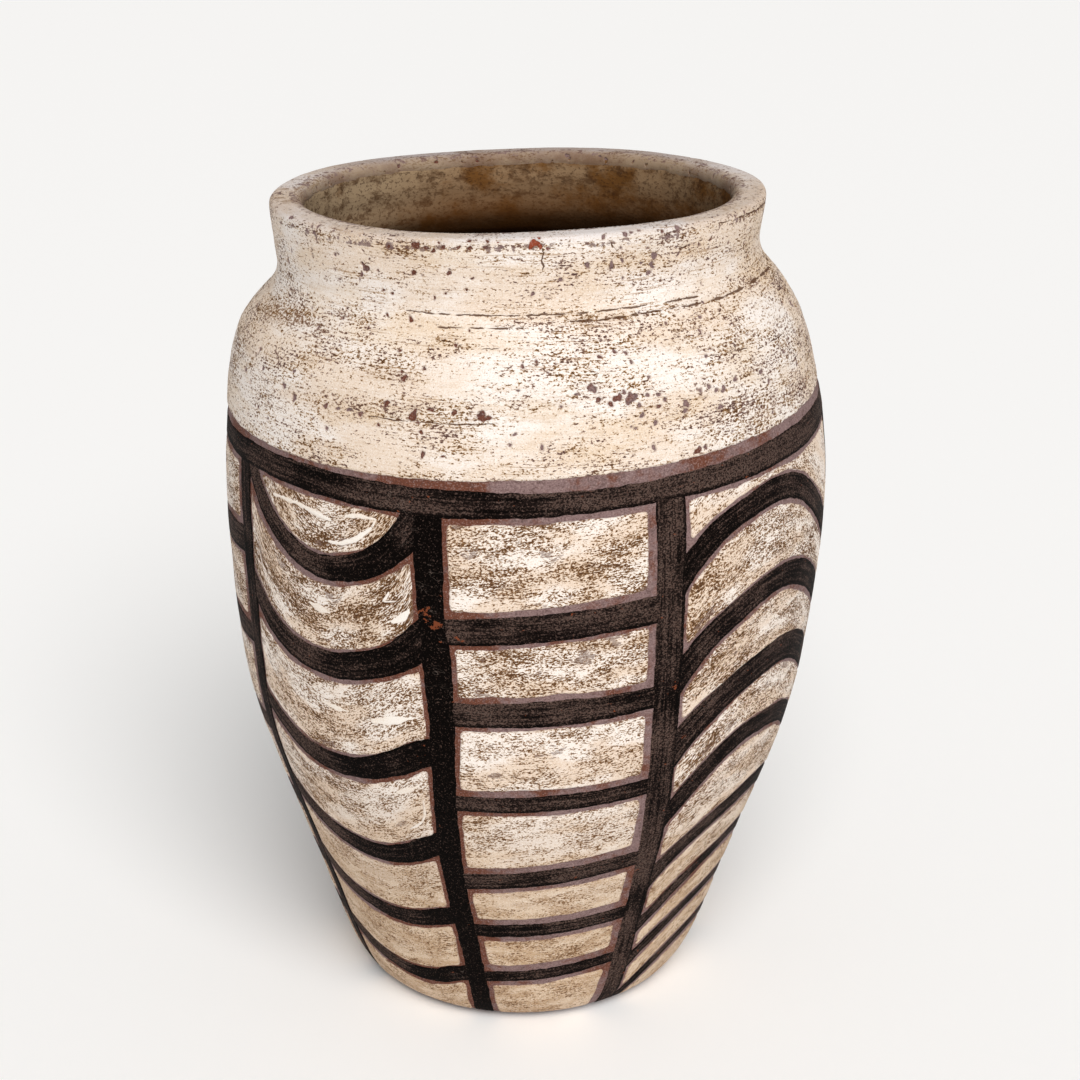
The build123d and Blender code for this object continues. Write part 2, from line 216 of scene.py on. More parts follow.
def loops_of(F, x0, y0, gx, gy):
    """Closed zero lines of a field on a grid, by marching squares."""
    ny, nx = F.shape
    inside = F > 0
    code = (inside[:-1, :-1] * 1 + inside[:-1, 1:] * 2 + inside[1:, 1:] * 4 + inside[1:, :-1] * 8)
    table = {1: [(3, 0)], 2: [(0, 1)], 3: [(3, 1)], 4: [(1, 2)], 5: [(3, 2), (1, 0)], 6: [(0, 2)], 7: [(3, 2)],
             8: [(2, 3)], 9: [(2, 0)], 10: [(0, 3), (2, 1)], 11: [(2, 1)], 12: [(1, 3)], 13: [(1, 0)], 14: [(0, 3)]}
    nxt, where = {}, {}

    def key(j, i, e):
        return ((j, i, 0) if e == 0 else (j, i + 1, 1) if e == 1 else (j + 1, i, 0) if e == 2 else (j, i, 1))

    def spot(k):
        if k not in where:
            j, i, kind = k
            if kind == 0:
                a, b = F[j, i], F[j, i + 1]
                where[k] = (x0 + (i + a / (a - b)) * gx, y0 + j * gy)
            else:
                a, b = F[j, i], F[j + 1, i]
                where[k] = (x0 + i * gx, y0 + (j + a / (a - b)) * gy)
        return where[k]

    for j, i in zip(*np.nonzero((code > 0) & (code < 15))):
        for e0, e1 in table[int(code[j, i])]:
            nxt[key(j, i, e0)] = key(j, i, e1)
    found = []
    while nxt:
        start, k = nxt.popitem()
        chain = [start]
        while k != start and k in nxt:
            chain.append(k)
            k = nxt.pop(k)
        if k == start and len(chain) > 5:
            found.append(np.array([spot(q) for q in chain]))
    return found


def even(loop, step):
    """Loop resampled to even steps, lightly smoothed."""
    p = np.vstack([loop, loop[:1]])
    d = np.concatenate([[0], np.cumsum(np.hypot(*np.diff(p, axis=0).T))])
    n = max(8, int(round(d[-1] / step)))
    t = np.linspace(0, d[-1], n, endpoint=False)
    q = np.stack([np.interp(t, d, p[:, 0]), np.interp(t, d, p[:, 1])], 1)
    return 0.25 * np.roll(q, 1, 0) + 0.5 * q + 0.25 * np.roll(q, -1, 0)


def area_of(loop):
    x, y = loop.T
    return 0.5 * np.sum(x * np.roll(y, -1) - np.roll(x, -1) * y)


def sample(F, x0, y0, gx, gy, p):
    """Bilinear value of a gridded field at points."""
    ny, nx = F.shape
    x = np.clip((p[:, 0] - x0) / gx, 0, nx - 1.001)
    y = np.clip((p[:, 1] - y0) / gy, 0, ny - 1.001)
    i, j = x.astype(int), y.astype(int)
    fx, fy = x - i, y - j
    return ((F[j, i] * (1 - fx) + F[j, i + 1] * fx) * (1 - fy) + (F[j + 1, i] * (1 - fx) + F[j + 1, i + 1] * fx) * fy)


def triangulate(points, edges):
    out = delaunay_2d_cdt([Vector((float(a), float(b))) for a, b in points], edges, [], 0, 1e-5, False)
    v = np.array([(p.x, p.y) for p in out[0]])
    f = np.array(out[2], int)
    a, b, c = v[f[:, 0]], v[f[:, 1]], v[f[:, 2]]
    turn = (b[:, 0] - a[:, 0]) * (c[:, 1] - a[:, 1]) - (b[:, 1] - a[:, 1]) * (c[:, 0] - a[:, 0])
    f[turn < 0] = f[turn < 0][:, ::-1]
    return v, f[np.abs(turn) > 1e-7]


def within_loops(p, loops):
    """True for points inside an odd number of closed loops."""
    odd = np.zeros(len(p), bool)
    for l in loops:
        a, b = l, np.roll(l, -1, 0)
        rise = np.where(np.abs(b[:, 1] - a[:, 1]) < 1e-12, 1e-12, b[:, 1] - a[:, 1])
        slope = (b[:, 0] - a[:, 0]) / rise
        near = np.nonzero(((p >= l.min(0)) & (p <= l.max(0))).all(1))[0]
        for part in np.array_split(near, len(near) // 3000 + 1):
            x, y = p[part, :1], p[part, 1:]
            cross = ((a[:, 1] > y) != (b[:, 1] > y)) & (x < slope * (y - a[:, 1]) + a[:, 0])
            odd[part] ^= cross.sum(1) % 2 == 1
    return odd


def thick(v, f, count=None):
    """Top and bottom faces with walls round every open edge; vertices are doubled."""
    n = len(v) if count is None else count
    e = np.vstack([f[:, [0, 1]], f[:, [1, 2]], f[:, [2, 0]]])
    keys = {}
    for a, b in e:
        k = (min(a, b), max(a, b))
        keys[k] = None if k in keys else (a, b)
    walls = [(b, a, a + n, b + n) for ab in keys.values() if ab is not None for a, b in [ab]]
    return [tuple(t) for t in f] + [tuple(t[::-1] + n) for t in f] + walls


class Patches:
    """Gathers the pieces of paint that make up one node."""

    def __init__(self):
        self.v, self.f, self.att = [], [], {}
        self.n = 0

    def add(self, F, x0, y0, g, unmap, top, bottom=-0.15, step=0.9, inner=2.1, floats=None, least=25.0):
        """F on a grid over flat coordinates; unmap gives azimuth and arc length; top gives the height."""
        loops = [even(l, step) for l in loops_of(F, x0, y0, g, g)]
        loops = [l for l in loops if abs(area_of(l)) > 0.8]
        if not loops or max(abs(area_of(l)) for l in loops) < least:
            return
        pts, edges, at = [], [], 0
        gy, gx = np.gradient(F, g)
        for l in loops:
            n = len(l)
            pts.append(l)
            edges += [(at + k, at + (k + 1) % n) for k in range(n)]
            at += n
        for l in loops:
            d = np.stack([sample(gx, x0, y0, g, g, l), sample(gy, x0, y0, g, g, l)], 1)
            d /= np.maximum(np.linalg.norm(d, axis=1, keepdims=True), 1e-6)
            for depth in (0.38, 0.95):
                q = l + d * depth
                q = q[sample(F, x0, y0, g, g, q) > 0.72 * depth]
                pts.append(q)
        ny, nx = F.shape
        yy, xx = np.meshgrid(np.arange(0, (ny - 1) * g, inner), np.arange(0, (nx - 1) * g, inner), indexing="ij")
        xx = xx + (np.arange(xx.shape[0]) % 2)[:, None] * inner / 2
        q = np.stack([xx.ravel() + x0, yy.ravel() + y0], 1)
        pts.append(q[sample(F, x0, y0, g, g, q) > 1.7])
        v, f = triangulate(np.vstack(pts), edges)
        f = f[within_loops(v[f].mean(1), loops)]
        used = np.unique(f)
        remap = -np.ones(len(v), int)
        remap[used] = np.arange(len(used))
        v, f = v[used], remap[f]
        depth = np.maximum(sample(F, x0, y0, g, g, v), 0)
        rim = np.zeros(len(v), bool)
        e = np.sort(np.vstack([f[:, [0, 1]], f[:, [1, 2]], f[:, [2, 0]]]), 1)
        uniq, count = np.unique(e, axis=0, return_counts=True)
        rim[np.unique(uniq[count == 1])] = True
        depth[rim] = 0
        th, s = unmap(v[:, 0], v[:, 1])
        up = top(v[:, 0], v[:, 1], depth)
        self.v.append(np.vstack([place(th, s, up), place(th, s, bottom)]))
        self.f += [tuple(i + self.n for i in t) for t in thick(v, f)]
        self.n += 2 * len(v)
        extra = {"edge_mm": depth}
        if floats:
            extra.update(floats(v[:, 0], v[:, 1], depth))
        for k, val in extra.items():
            val = np.broadcast_to(np.asarray(val, float), depth.shape)
            self.att.setdefault(k, []).append(np.concatenate([val, val]))

    def build(self, name, material, slot):
        return make_object(name, np.vstack(self.v), self.f, material, [name],
                           {k: np.concatenate(x) for k, x in self.att.items()})


# ------------------------------------------------------------------ pattern
def table(rows):
    a = np.array(rows, float)
    return lambda x: np.interp(x, a[:, 0], a[:, 1])


TILT_X, TILT_Y = 0.0403, 0.0307
CREAM_EDGE_Z, GIRDLE_TOP_Z, GIRDLE_BOTTOM_Z = 309.1, 303.4, 293.4


def leaning(z0, theta):
    """Height of a line drawn round the jar on the girdle's leaning plane."""
    a = np.radians(theta)
    return z0 + 143.0 * (TILT_X * np.sin(a) - TILT_Y * np.cos(a))


# departures of the painted band's two edges from that plane, by azimuth
GIRDLE_UP = table([(-180, 0), (-84, 0), (-66, 1.8), (-60, 2.7), (-50, 3.1), (-38, 3.1), (-30, 2.8), (-24, 2.3), (-18, 1.8), (-12, 1.2),
                   (-6, .7), (0, .4), (6, -.1), (16, -.3), (30, -.2), (38, .6), (46, 1.1), (58, 1.6), (66, 1.3), (84, 0), (180, 0)])
GIRDLE_DOWN = table([(-180, 0), (-84, 0), (-62, 1.2), (-54, 1.9), (-50, 1.6), (-42, 1.3), (-34, .8), (-28, .2), (-12, -.5), (0, -.2),
                     (12, .2), (24, 0), (30, -.6), (42, -.5), (50, -1.0), (58, -1.6), (68, -1.1), (84, 0), (180, 0)])


def around(theta):
    return (np.asarray(theta, float) + 180.0) % 360.0 - 180.0


def girdle_low(theta):
    return leaning(GIRDLE_BOTTOM_Z, theta) + GIRDLE_DOWN(around(theta))


def girdle_top(theta):
    return leaning(GIRDLE_TOP_Z, theta) + GIRDLE_UP(around(theta))


BAR_B = table([(-20, -12.5), (20, -12.6), (50, -13.7), (85, -15.2), (110, -15.7), (135, -15.4), (150, -15.1), (190, -14.8), (220, -15.4), (250, -16.3), (290, -17.0), (320, -17.2)])
BAR_C = table([(-20, 29.4), (20, 29.2), (50, 29.0), (85, 28.8), (120, 28.1), (150, 26.9), (200, 26.0), (250, 25.4), (290, 25.2), (320, 25.1)])
BAR_A = table([(-20, -61.0), (20, -61.5), (70, -62.7), (135, -63.2), (200, -61.9), (250, -61.7), (290, -62.9), (320, -63.3)])
W_B = table([(0, 9.4), (50, 9.8), (85, 10.2), (110, 10.8), (135, 10.8), (160, 11.2), (190, 11.9), (220, 12.6), (250, 12.6), (300, 12.8)])
W_C = table([(0, 10.8), (50, 10.4), (100, 11.6), (150, 13.4), (200, 13.8), (250, 14.4), (300, 14.8)])
W_A = table([(0, 9.6), (100, 10.4), (200, 11.0), (300, 12.4)])
# half of what the cream fields keep clear of on each side of a bar
L_B = table([(0, 9.2), (50, 8.8), (100, 9.3), (150, 10.0), (190, 10.7), (220, 12.0), (250, 11.8), (300, 11.6)])
L_C = table([(0, 10.4), (50, 9.2), (100, 11.0), (150, 11.6), (200, 12.2), (250, 13.2), (300, 14.0)])
L_A = table([(0, 9.0), (100, 9.4), (200, 9.8), (300, 11.0)])


def turned(fn, angle):
    return lambda z: fn(z) + angle


BARS = [(BAR_A, W_A, L_A), (BAR_B, W_B, L_B), (BAR_C, W_C, L_C), (turned(BAR_B, 99), W_B, L_B), (turned(BAR_C, 99), W_C, L_C),
        (turned(BAR_B, 180), W_B, L_B), (turned(BAR_C, 180), W_C, L_C), (turned(BAR_B, 270), W_B, L_B)]

# strokes: (azimuth, height) points, width kept clear by the fields, painted width (start, middle, end)
LADDER = [([(-16.4, 234.9), (-12, 235.6), (4, 239.0), (20, 242.7), (26, 244.2)], 10.2, (12.8, 13.6, 13.0)),
          ([(-16, 194.7), (-10, 195.3), (5, 197.0), (20, 199.1), (27, 200.2)], 9.4, (12.2, 13.0, 11.2)),
          ([(-16, 147.1), (-10, 147.6), (5, 148.7), (20, 151.0), (27, 152.1)], 7.0, (9.6, 9.4, 9.4)),
          ([(-16, 97.6), (-10, 98.8), (5, 102.2), (20, 106.0), (28, 107.8)], 9.2, (11.4, 10.8, 10.0)),
          ([(-16, 64.6), (-10, 65.6), (5, 67.4), (20, 70.2), (29, 71.6)], 7.5, (8.6, 9.0, 8.6)),
          ([(-16, 32.4), (-10, 33.4), (5, 35.9), (20, 39.3), (29, 40.9)], 7.2, (7.2, 7.4, 7.2))]
SWAG = [([(-59.8, 289.5), (-58.5, 285.5), (-57, 280.5), (-53, 270.8), (-48, 262.3), (-43, 257.2), (-38, 255.2), (-33, 257.2),
          (-28, 261.9), (-24, 269.0), (-20.5, 278.8), (-18.5, 286), (-17.4, 290.0)], 10.6, (10.0, 11.6, 15.0)),
        ([(-62, 235.7), (-59, 227.6), (-55, 218.8), (-50, 212.2), (-45, 208.8), (-40, 207.9), (-35, 208.7), (-30, 212.0),
          (-25, 216.8), (-21, 223), (-18, 230.5), (-16.2, 235)], 12.2, (11.4, 12.4, 16.0)),
        ([(-62.5, 175), (-59, 168.8), (-55, 163.4), (-50, 157.9), (-45, 154.8), (-40, 154.2), (-35, 155.3), (-30, 158.7),
          (-25, 164.2), (-20, 171.0), (-15.8, 175.6)], 11.0, (9.6, 12.0, 13.8)),
        ([(-63, 125.5), (-59, 119), (-55, 114.2), (-50, 109.2), (-45, 106.4), (-40, 105.0), (-35, 104.7), (-30, 106.6),
          (-25, 110.8), (-20, 117.3), (-15.6, 122.8)], 9.8, (9.4, 11.2, 12.6)),
        ([(-63, 85), (-60, 80.5), (-55, 73), (-50, 68.7), (-45, 66.3), (-40, 65), (-35, 64.2), (-30, 65.0),
          (-25, 67.6), (-20, 71.4), (-15.2, 75)], 8.8, (8.0, 9.0, 11.0)),
        ([(-63, 41), (-60, 38.5), (-55, 34.6), (-50, 30.9), (-45, 28.0), (-40, 26.5), (-35, 25.4), (-30, 25.7),
          (-25, 27.4), (-20, 31.2), (-14, 35.2)], 7.8, (7.4, 9.0, 10.2))]
ARCH = [([(25.6, 247), (26.6, 252.5), (28, 258), (30, 263.4), (35, 273.4), (40, 278.4), (45, 281.5), (50, 282.8), (55, 281.8), (60, 277),
          (65, 269), (70, 259.7), (75, 250), (80, 240.4), (84, 232.6)], 10.6, (11.6, 11.2, 11.2)),
        ([(26, 198), (28, 206.5), (30, 213), (35, 224.8), (40, 231.4), (45, 236.4), (50, 239.0), (55, 239.0), (60, 236),
          (65, 230.2), (70, 223), (75, 215), (80, 206.8), (84.5, 199.4)], 11.6, (12.6, 12.6, 12.2)),
        ([(26, 158), (28, 166.2), (30, 173.0), (35, 183.6), (40, 191.0), (45, 195.8), (50, 198.7), (55, 199.6), (60, 198.0),
          (65, 193.6), (70, 187.2), (75, 179.5), (80, 171.8), (84.5, 164.8)], 12.0, (15.0, 15.4, 14.0)),
        ([(26, 114), (28, 123.0), (30, 130.6), (35, 145.0), (40, 155.4), (45, 161.6), (50, 163.8), (55, 163.3), (60, 161.5),
          (65, 157.6), (70, 151.8), (75, 144.6), (80, 137.4), (84.5, 131)], 10.0, (12.0, 11.6, 12.0)),
        ([(26.5, 74), (28.5, 81.8), (30, 87.4), (35, 100.4), (40, 109.1), (45, 114.8), (50, 118.4), (55, 120.8), (60, 121.8),
          (65, 120.2), (70, 116.3), (75, 110.3), (80, 104), (84.5, 98)], 9.8, (10.8, 10.6, 10.2)),
        ([(27, 45.5), (29, 51.3), (32, 58.8), (35, 64.6), (40, 74.4), (45, 81.6), (50, 86.6), (55, 89.4), (60, 90.8),
          (65, 89.8), (70, 86.4), (75, 80.9), (80, 74.4), (84.5, 68.6)], 8.6, (8.6, 7.8, 7.6)),
        ([(27, 21.5), (29, 26.5), (32, 33.6), (35, 39.4), (40, 47.2), (45, 53.4), (50, 58.0), (55, 60.6), (60, 61.8),
          (65, 61.2), (70, 58.4), (75, 53.4), (80, 47.8), (85, 42)], 8.0, (7.4, 6.8, 6.8)),
        ([(30.5, -3), (32, 1.8), (35, 9.8), (40, 19.4), (45, 26.6), (50, 31.8), (55, 34.8), (60, 36.2),
          (65, 35.9), (70, 33.4), (75, 29), (80, 24), (85, 19)], 7.6, (7.0, 6.6, 6.4))]
# broad pale swipes left by a loaded brush on the hanging fields
SWIPES = [([(-37, 268), (-33.2, 268.8), (-29.6, 273.6), (-27.2, 278.5), (-26.2, 282.7)], 3.0), ([(-33.2, 280.8), (-29.8, 282.9), (-26.4, 282.6)], 2.8),
          ([(-51, 280.6), (-43.7, 280.8), (-37.4, 278.6), (-34.7, 277.8)], 3.2), ([(-41.4, 236), (-39, 234.6), (-36.6, 234)], 4.2),
          ([(-25.4, 244.5), (-24.2, 249), (-23, 254.5)], 1.7), ([(-28.4, 244), (-23.9, 246.4), (-20.2, 248.6)], 1.5),
          ([(-23.4, 237), (-21.4, 240), (-20.1, 244)], 4.0), ([(-28.6, 184.8), (-24.6, 187.4), (-20.6, 190.6)], 5.0),
          ([(-40.8, 187), (-37.4, 186.2), (-33.8, 186.4)], 3.6), ([(-20.6, 156), (-19.6, 144.5), (-20.6, 133.5), (-25.6, 123.4)], 1.6),
          ([(-25.8, 147), (-22.4, 151), (-20.2, 154.5)], 3.6)]

GRID = 0.6
V_FOOT = float(s_of(2.6))


class Bay:
    """Flat working coordinates for one bay: across in millimetres, arc length up."""

    def __init__(self, middle, seed):
        self.middle, self.seed = middle, seed

    def flat(self, theta, z):
        return np.radians(np.asarray(theta) - self.middle) * r_of(z), s_of(z)

    def unmap(self, x, y):
        z = np.interp(y, SS[:CREST + 1], SZ[:CREST + 1])
        return self.middle + np.degrees(x / np.maximum(r_of(z), 40)), y

    def grid(self, x0, x1, y0, y1):
        x = np.arange(x0, x1, GRID)
        y = np.arange(y0, y1, GRID)
        return np.meshgrid(x, y)


def smin(a, b, k):
    h = np.maximum(k - np.abs(a - b), 0) / k
    return np.minimum(a, b) - h * h * k * 0.25


def along_line(X, Y, line):
    """Distance to a line, side and length along it, for grid points."""
    best = np.full(X.shape, 1e9)
    t_at, side = np.zeros(X.shape), np.zeros(X.shape)
    run = 0.0
    for (ax, ay), (bx, by) in zip(line, line[1:]):
        dx, dy = bx - ax, by - ay
        ll = math.hypot(dx, dy)
        if ll < 1e-9:
            continue
        t = np.clip(((X - ax) * dx + (Y - ay) * dy) / (ll * ll), 0, 1)
        ex, ey = X - ax - t * dx, Y - ay - t * dy
        d = np.hypot(ex, ey)
        near = d < best
        best = np.where(near, d, best)
        t_at = np.where(near, run + t * ll, t_at)
        side = np.where(near, np.sign(dx * ey - dy * ex), side)
        run += ll
    return best, side, t_at, run


def smooth_line(points, n=90):
    """Even points on a curve through the given ones."""
    p = through(np.array(points, float), 0.5)
    d = np.concatenate([[0], np.cumsum(np.hypot(*np.diff(p, axis=0).T))])
    t = np.linspace(0, d[-1], n)
    return np.stack([np.interp(t, d, p[:, 0]), np.interp(t, d, p[:, 1])], 1)


def stroke(patches, bay, points, width, seed, tall=0.26, run_on=0.0, thin=None, least=25.0, floats=None, between=None):
    """One brush stroke along (azimuth, height) points; width as a function of height or as values along it.
    thin says how much brown shows through the slip; between is a pair of bars that it stays inside."""
    zs = np.array([p[1] for p in points], float)
    line = smooth_line(np.stack(bay.flat([p[0] for p in points], np.maximum(zs, 0.5)), 1))
    if run_on:
        a, b = line[0] - line[3], line[-1] - line[-4]
        line = np.vstack([line[0] + a / np.linalg.norm(a) * run_on, line, line[-1] + b / np.linalg.norm(b) * run_on])
    w_max = max(width(z) for z in zs) if callable(width) else max(width)
    x0, y0 = line.min(0) - w_max
    x1, y1 = line.max(0) + w_max
    y0 = max(y0, V_FOOT - 3)
    X, Y = bay.grid(x0, x1, y0, y1)
    d, side, t, run = along_line(X, Y, line)
    z = np.interp(Y, SS[:CREST + 1], SZ[:CREST + 1])
    w = width(z) if callable(width) else np.interp(t / run, np.linspace(0.08, 0.92, len(width)), width)
    half = 0.5 * w * (1 + 0.06 * vnoise(t / 26, 0.3, seed))
    edge = 0.40 * fnoise(t / 6.0, side * 3.7 + 0.5, seed + 5) + 0.30 * vnoise(X / 1.8, Y / 1.8, seed + 9)
    F = half + edge - d
    F = smin(F, Y - V_FOOT, 1.5)
    if between is not None:
        (lb, lw, _), (rb, rw, _) = between
        th, _ = bay.unmap(X, Y)
        F = np.minimum(F, np.radians(th - lb(z)) * r_of(z) + lw(z) / 2 - 1.3)
        F = np.minimum(F, np.radians(rb(z) - th) * r_of(z) + rw(z) / 2 - 1.3)

    def paint(x, y, depth):
        dd, sd, tt, _ = along_line(x, y, line)
        th, _ = bay.unmap(x, y)
        zv = np.interp(y, SS[:CREST + 1], SZ[:CREST + 1])
        bare = np.zeros(len(x))
        for a, b, rad in RUBBED:
            bare = np.maximum(bare, np.exp(-((np.radians(th - a) * r_of(zv)) ** 2 + (zv - b) ** 2) / rad ** 2))
        return {"along": tt, "across": dd * sd, "tone": float(lattice(np.array(seed), np.array(3), 11) * 0.5 + 0.5),
                "thin": thin(th, zv), "bare": bare}

    def top(x, y, depth):
        dome = np.sqrt(1 - (1 - np.minimum(depth / 0.8, 1)) ** 2)
        return tall * dome + 0.03 * fnoise(x / 3.0, y / 3.0, seed + 2) * dome + 0.02

    patches.add(F, x0, y0, GRID, bay.unmap, top, floats=floats or paint, least=least)


# places where the dark slip is rubbed through to red clay: azimuth, height, radius
RUBBED = [(-17.6, 243, 5.5), (-15.6, 238, 4.0), (-11.5, 229, 4.5), (27.5, 203, 3.0), (124, 150, 5.0), (-104, 205, 5.0), (205, 240, 4.0)]


def field(patches, bay, over, under, left, right, margins, seed, tall=0.32, worn=0.5):
    """A cream field below one stroke and above the next, between two bars.
    over and under are (points, width) or None; margins are (over, under, left, right)."""
    m_over, m_under, m_left, m_right, m_band = margins
    (lb, _, lw), (rb, _, rw) = left, right
    zz = np.linspace(0, 300, 61)
    half_span = max(np.abs(np.radians(lb(zz) - bay.middle) * r_of(zz)).max(), np.abs(np.radians(rb(zz) - bay.middle) * r_of(zz)).max())
    z_hi = 312.0 if over is None else max(p[1] for p in over[0]) + 4
    z_lo = 2.0 if under is None else min(p[1] for p in under[0]) - 4
    y0, y1 = s_of(max(z_lo, 1.0)) - 2, s_of(z_hi) + 2
    X, Y = bay.grid(-half_span - 3, half_span + 3, y0, y1)
    th, _ = bay.unmap(X, Y)
    Z = np.interp(Y, SS[:CREST + 1], SZ[:CREST + 1])
    R = r_of(Z)
    uneven = 0.55 * vnoise(X / 14, Y / 14, seed + 1) + 0.3 * vnoise(X / 5, Y / 5, seed + 2)
    F = np.radians(th - lb(Z)) * R - lw(Z) / 2 - m_left + uneven
    F = smin(F, np.radians(rb(Z) - th) * R - rw(Z) / 2 - m_right + uneven, 1.8)
    F = smin(F, girdle_low(th) - Z - m_band + uneven, 1.8)

    def gap(points):
        p = np.array(points, float)
        order = np.argsort(p[:, 0])
        fine = smooth_line(p[order] * [2.4, 1.0], 160) / [2.4, 1.0]

        def away(azimuth, height):
            zc = np.interp(azimuth, fine[:, 0], fine[:, 1])
            slope = np.interp(azimuth, fine[:, 0], np.gradient(fine[:, 1]) / np.maximum(np.gradient(fine[:, 0]) * 2.4, 1e-3))
            return (height - zc) / np.sqrt(1 + slope ** 2)
        return away

    if over is not None:
        d = gap(over[0])(th, Z)
        F = smin(F, -d - over[1] / 2 - m_over + uneven, 1.8)
    if under is not None:
        d = gap(under[0])(th, Z)
        F = smin(F, d - under[1] / 2 - m_under + uneven, 1.8)
    else:
        F = smin(F, Y - V_FOOT, 2.0)
    F = F + 0.34 * fnoise(X / 2.4, Y / 2.4, seed + 3)
    brushed = gap((under or over)[0])

    def grain(x, y, depth):
        a, _ = bay.unmap(x, y)
        return {"along": x, "across": brushed(a, np.interp(y, SS[:CREST + 1], SZ[:CREST + 1])), "tone": tone, "worn": worn, "pale": 0.0}

    tone = float(lattice(np.array(seed), np.array(7), 5) * 0.5 + 0.5)

    def top(x, y, depth):
        dome = np.sqrt(1 - (1 - np.minimum(depth / 0.8, 1)) ** 2)
        return dome * (tall + 0.07 * vnoise(x / 11, y / 7, seed + 8) + 0.04 * vnoise(x / 5, y / 2.6, seed + 9)) + 0.02

    patches.add(F, X[0, 0], Y[0, 0], GRID, bay.unmap, top, floats=grain, least=40)


def swipe(patches, bay, points, width, seed):
    """A raised pale smear on a field."""
    def pale(x, y, depth):
        return {"along": x, "across": y, "tone": 0.5, "worn": 0.0, "pale": np.minimum(depth / 0.7, 1.0)}
    stroke(patches, bay, points, (0.55 * width, width, width, 0.5 * width), seed, tall=0.40, least=3.0, floats=pale)


# ------------------------------------------------------------------ materials
def lin(r, g, b):
    def one(c):
        c = c / 255
        return c / 12.92 if c <= 0.04045 else ((c + 0.055) / 1.055) ** 2.4
    return (one(r), one(g), one(b), 1.0)


class Nodes:
    def __init__(self, name):
        self.mat = bpy.data.materials.new(name)
        self.mat.use_nodes = True
        self.tree = self.mat.node_tree
        self.tree.nodes.clear()
        self.out = self.tree.nodes.new("ShaderNodeOutputMaterial")
        self.bsdf = self.tree.nodes.new("ShaderNodeBsdfPrincipled")
        self.tree.links.new(self.bsdf.outputs["BSDF"], self.out.inputs["Surface"])
        self.pos = self.tree.nodes.new("ShaderNodeTexCoord").outputs["Object"]

    def put(self, socket, value):
        if isinstance(value, bpy.types.NodeSocket):
            self.tree.links.new(value, socket)
        else:
            socket.default_value = value

    def math(self, op, a, b=0.0, c=0.0, clamp=False):
        n = self.tree.nodes.new("ShaderNodeMath")
        n.operation, n.use_clamp = op, clamp
        for s, v in zip(n.inputs, (a, b, c)):
            self.put(s, v)
        return n.outputs[0]

    def scaled(self, sx, sy, sz, shift=(0, 0, 0)):
        n = self.tree.nodes.new("ShaderNodeMapping")
        self.tree.links.new(self.pos, n.inputs["Vector"])
        n.inputs["Scale"].default_value = (sx, sy, sz)
        n.inputs["Location"].default_value = shift
        return n.outputs[0]

    def noise(self, vector, detail=3.0, rough=0.55, distort=0.0, scale=1.0):
        n = self.tree.nodes.new("ShaderNodeTexNoise")
        n.inputs["Scale"].default_value = scale
        n.inputs["Detail"].default_value = detail
        n.inputs["Roughness"].default_value = rough
        n.inputs["Distortion"].default_value = distort
        self.tree.links.new(vector, n.inputs["Vector"])
        return n.outputs["Fac"]

    def step(self, value, lo, hi, a=0.0, b=1.0):
        n = self.tree.nodes.new("ShaderNodeMapRange")
        n.interpolation_type = "SMOOTHSTEP"
        for key, v in (("Value", value), ("From Min", lo), ("From Max", hi), ("To Min", a), ("To Max", b)):
            self.put(n.inputs[key], v)
        return n.outputs[0]

    def mix(self, fac, a, b, kind="MIX"):
        n = self.tree.nodes.new("ShaderNodeMix")
        n.data_type, n.blend_type = "RGBA", kind
        self.put(n.inputs[0], fac)
        self.put(n.inputs[6], a)
        self.put(n.inputs[7], b)
        return n.outputs[2]

    def attr(self, name):
        n = self.tree.nodes.new("ShaderNodeAttribute")
        n.attribute_name = name
        return n.outputs["Fac"]

    def vec(self, x, y, z=0.0):
        n = self.tree.nodes.new("ShaderNodeCombineXYZ")
        for s, v in zip(n.inputs, (x, y, z)):
            self.put(s, v)
        return n.outputs[0]

    def height(self):
        n = self.tree.nodes.new("ShaderNodeSeparateXYZ")
        self.tree.links.new(self.pos, n.inputs[0])
        return n.outputs[2]

    def bump(self, height, distance, strength=1.0):
        n = self.tree.nodes.new("ShaderNodeBump")
        n.inputs["Strength"].default_value = strength
        n.inputs["Distance"].default_value = distance
        self.tree.links.new(height, n.inputs["Height"])
        self.tree.links.new(n.outputs["Normal"], self.bsdf.inputs["Normal"])

    def done(self, color, rough, specular=0.35):
        self.put(self.bsdf.inputs["Base Color"], color)
        self.put(self.bsdf.inputs["Roughness"], rough)
        self.bsdf.inputs["Specular IOR Level"].default_value = specular
        return self.mat


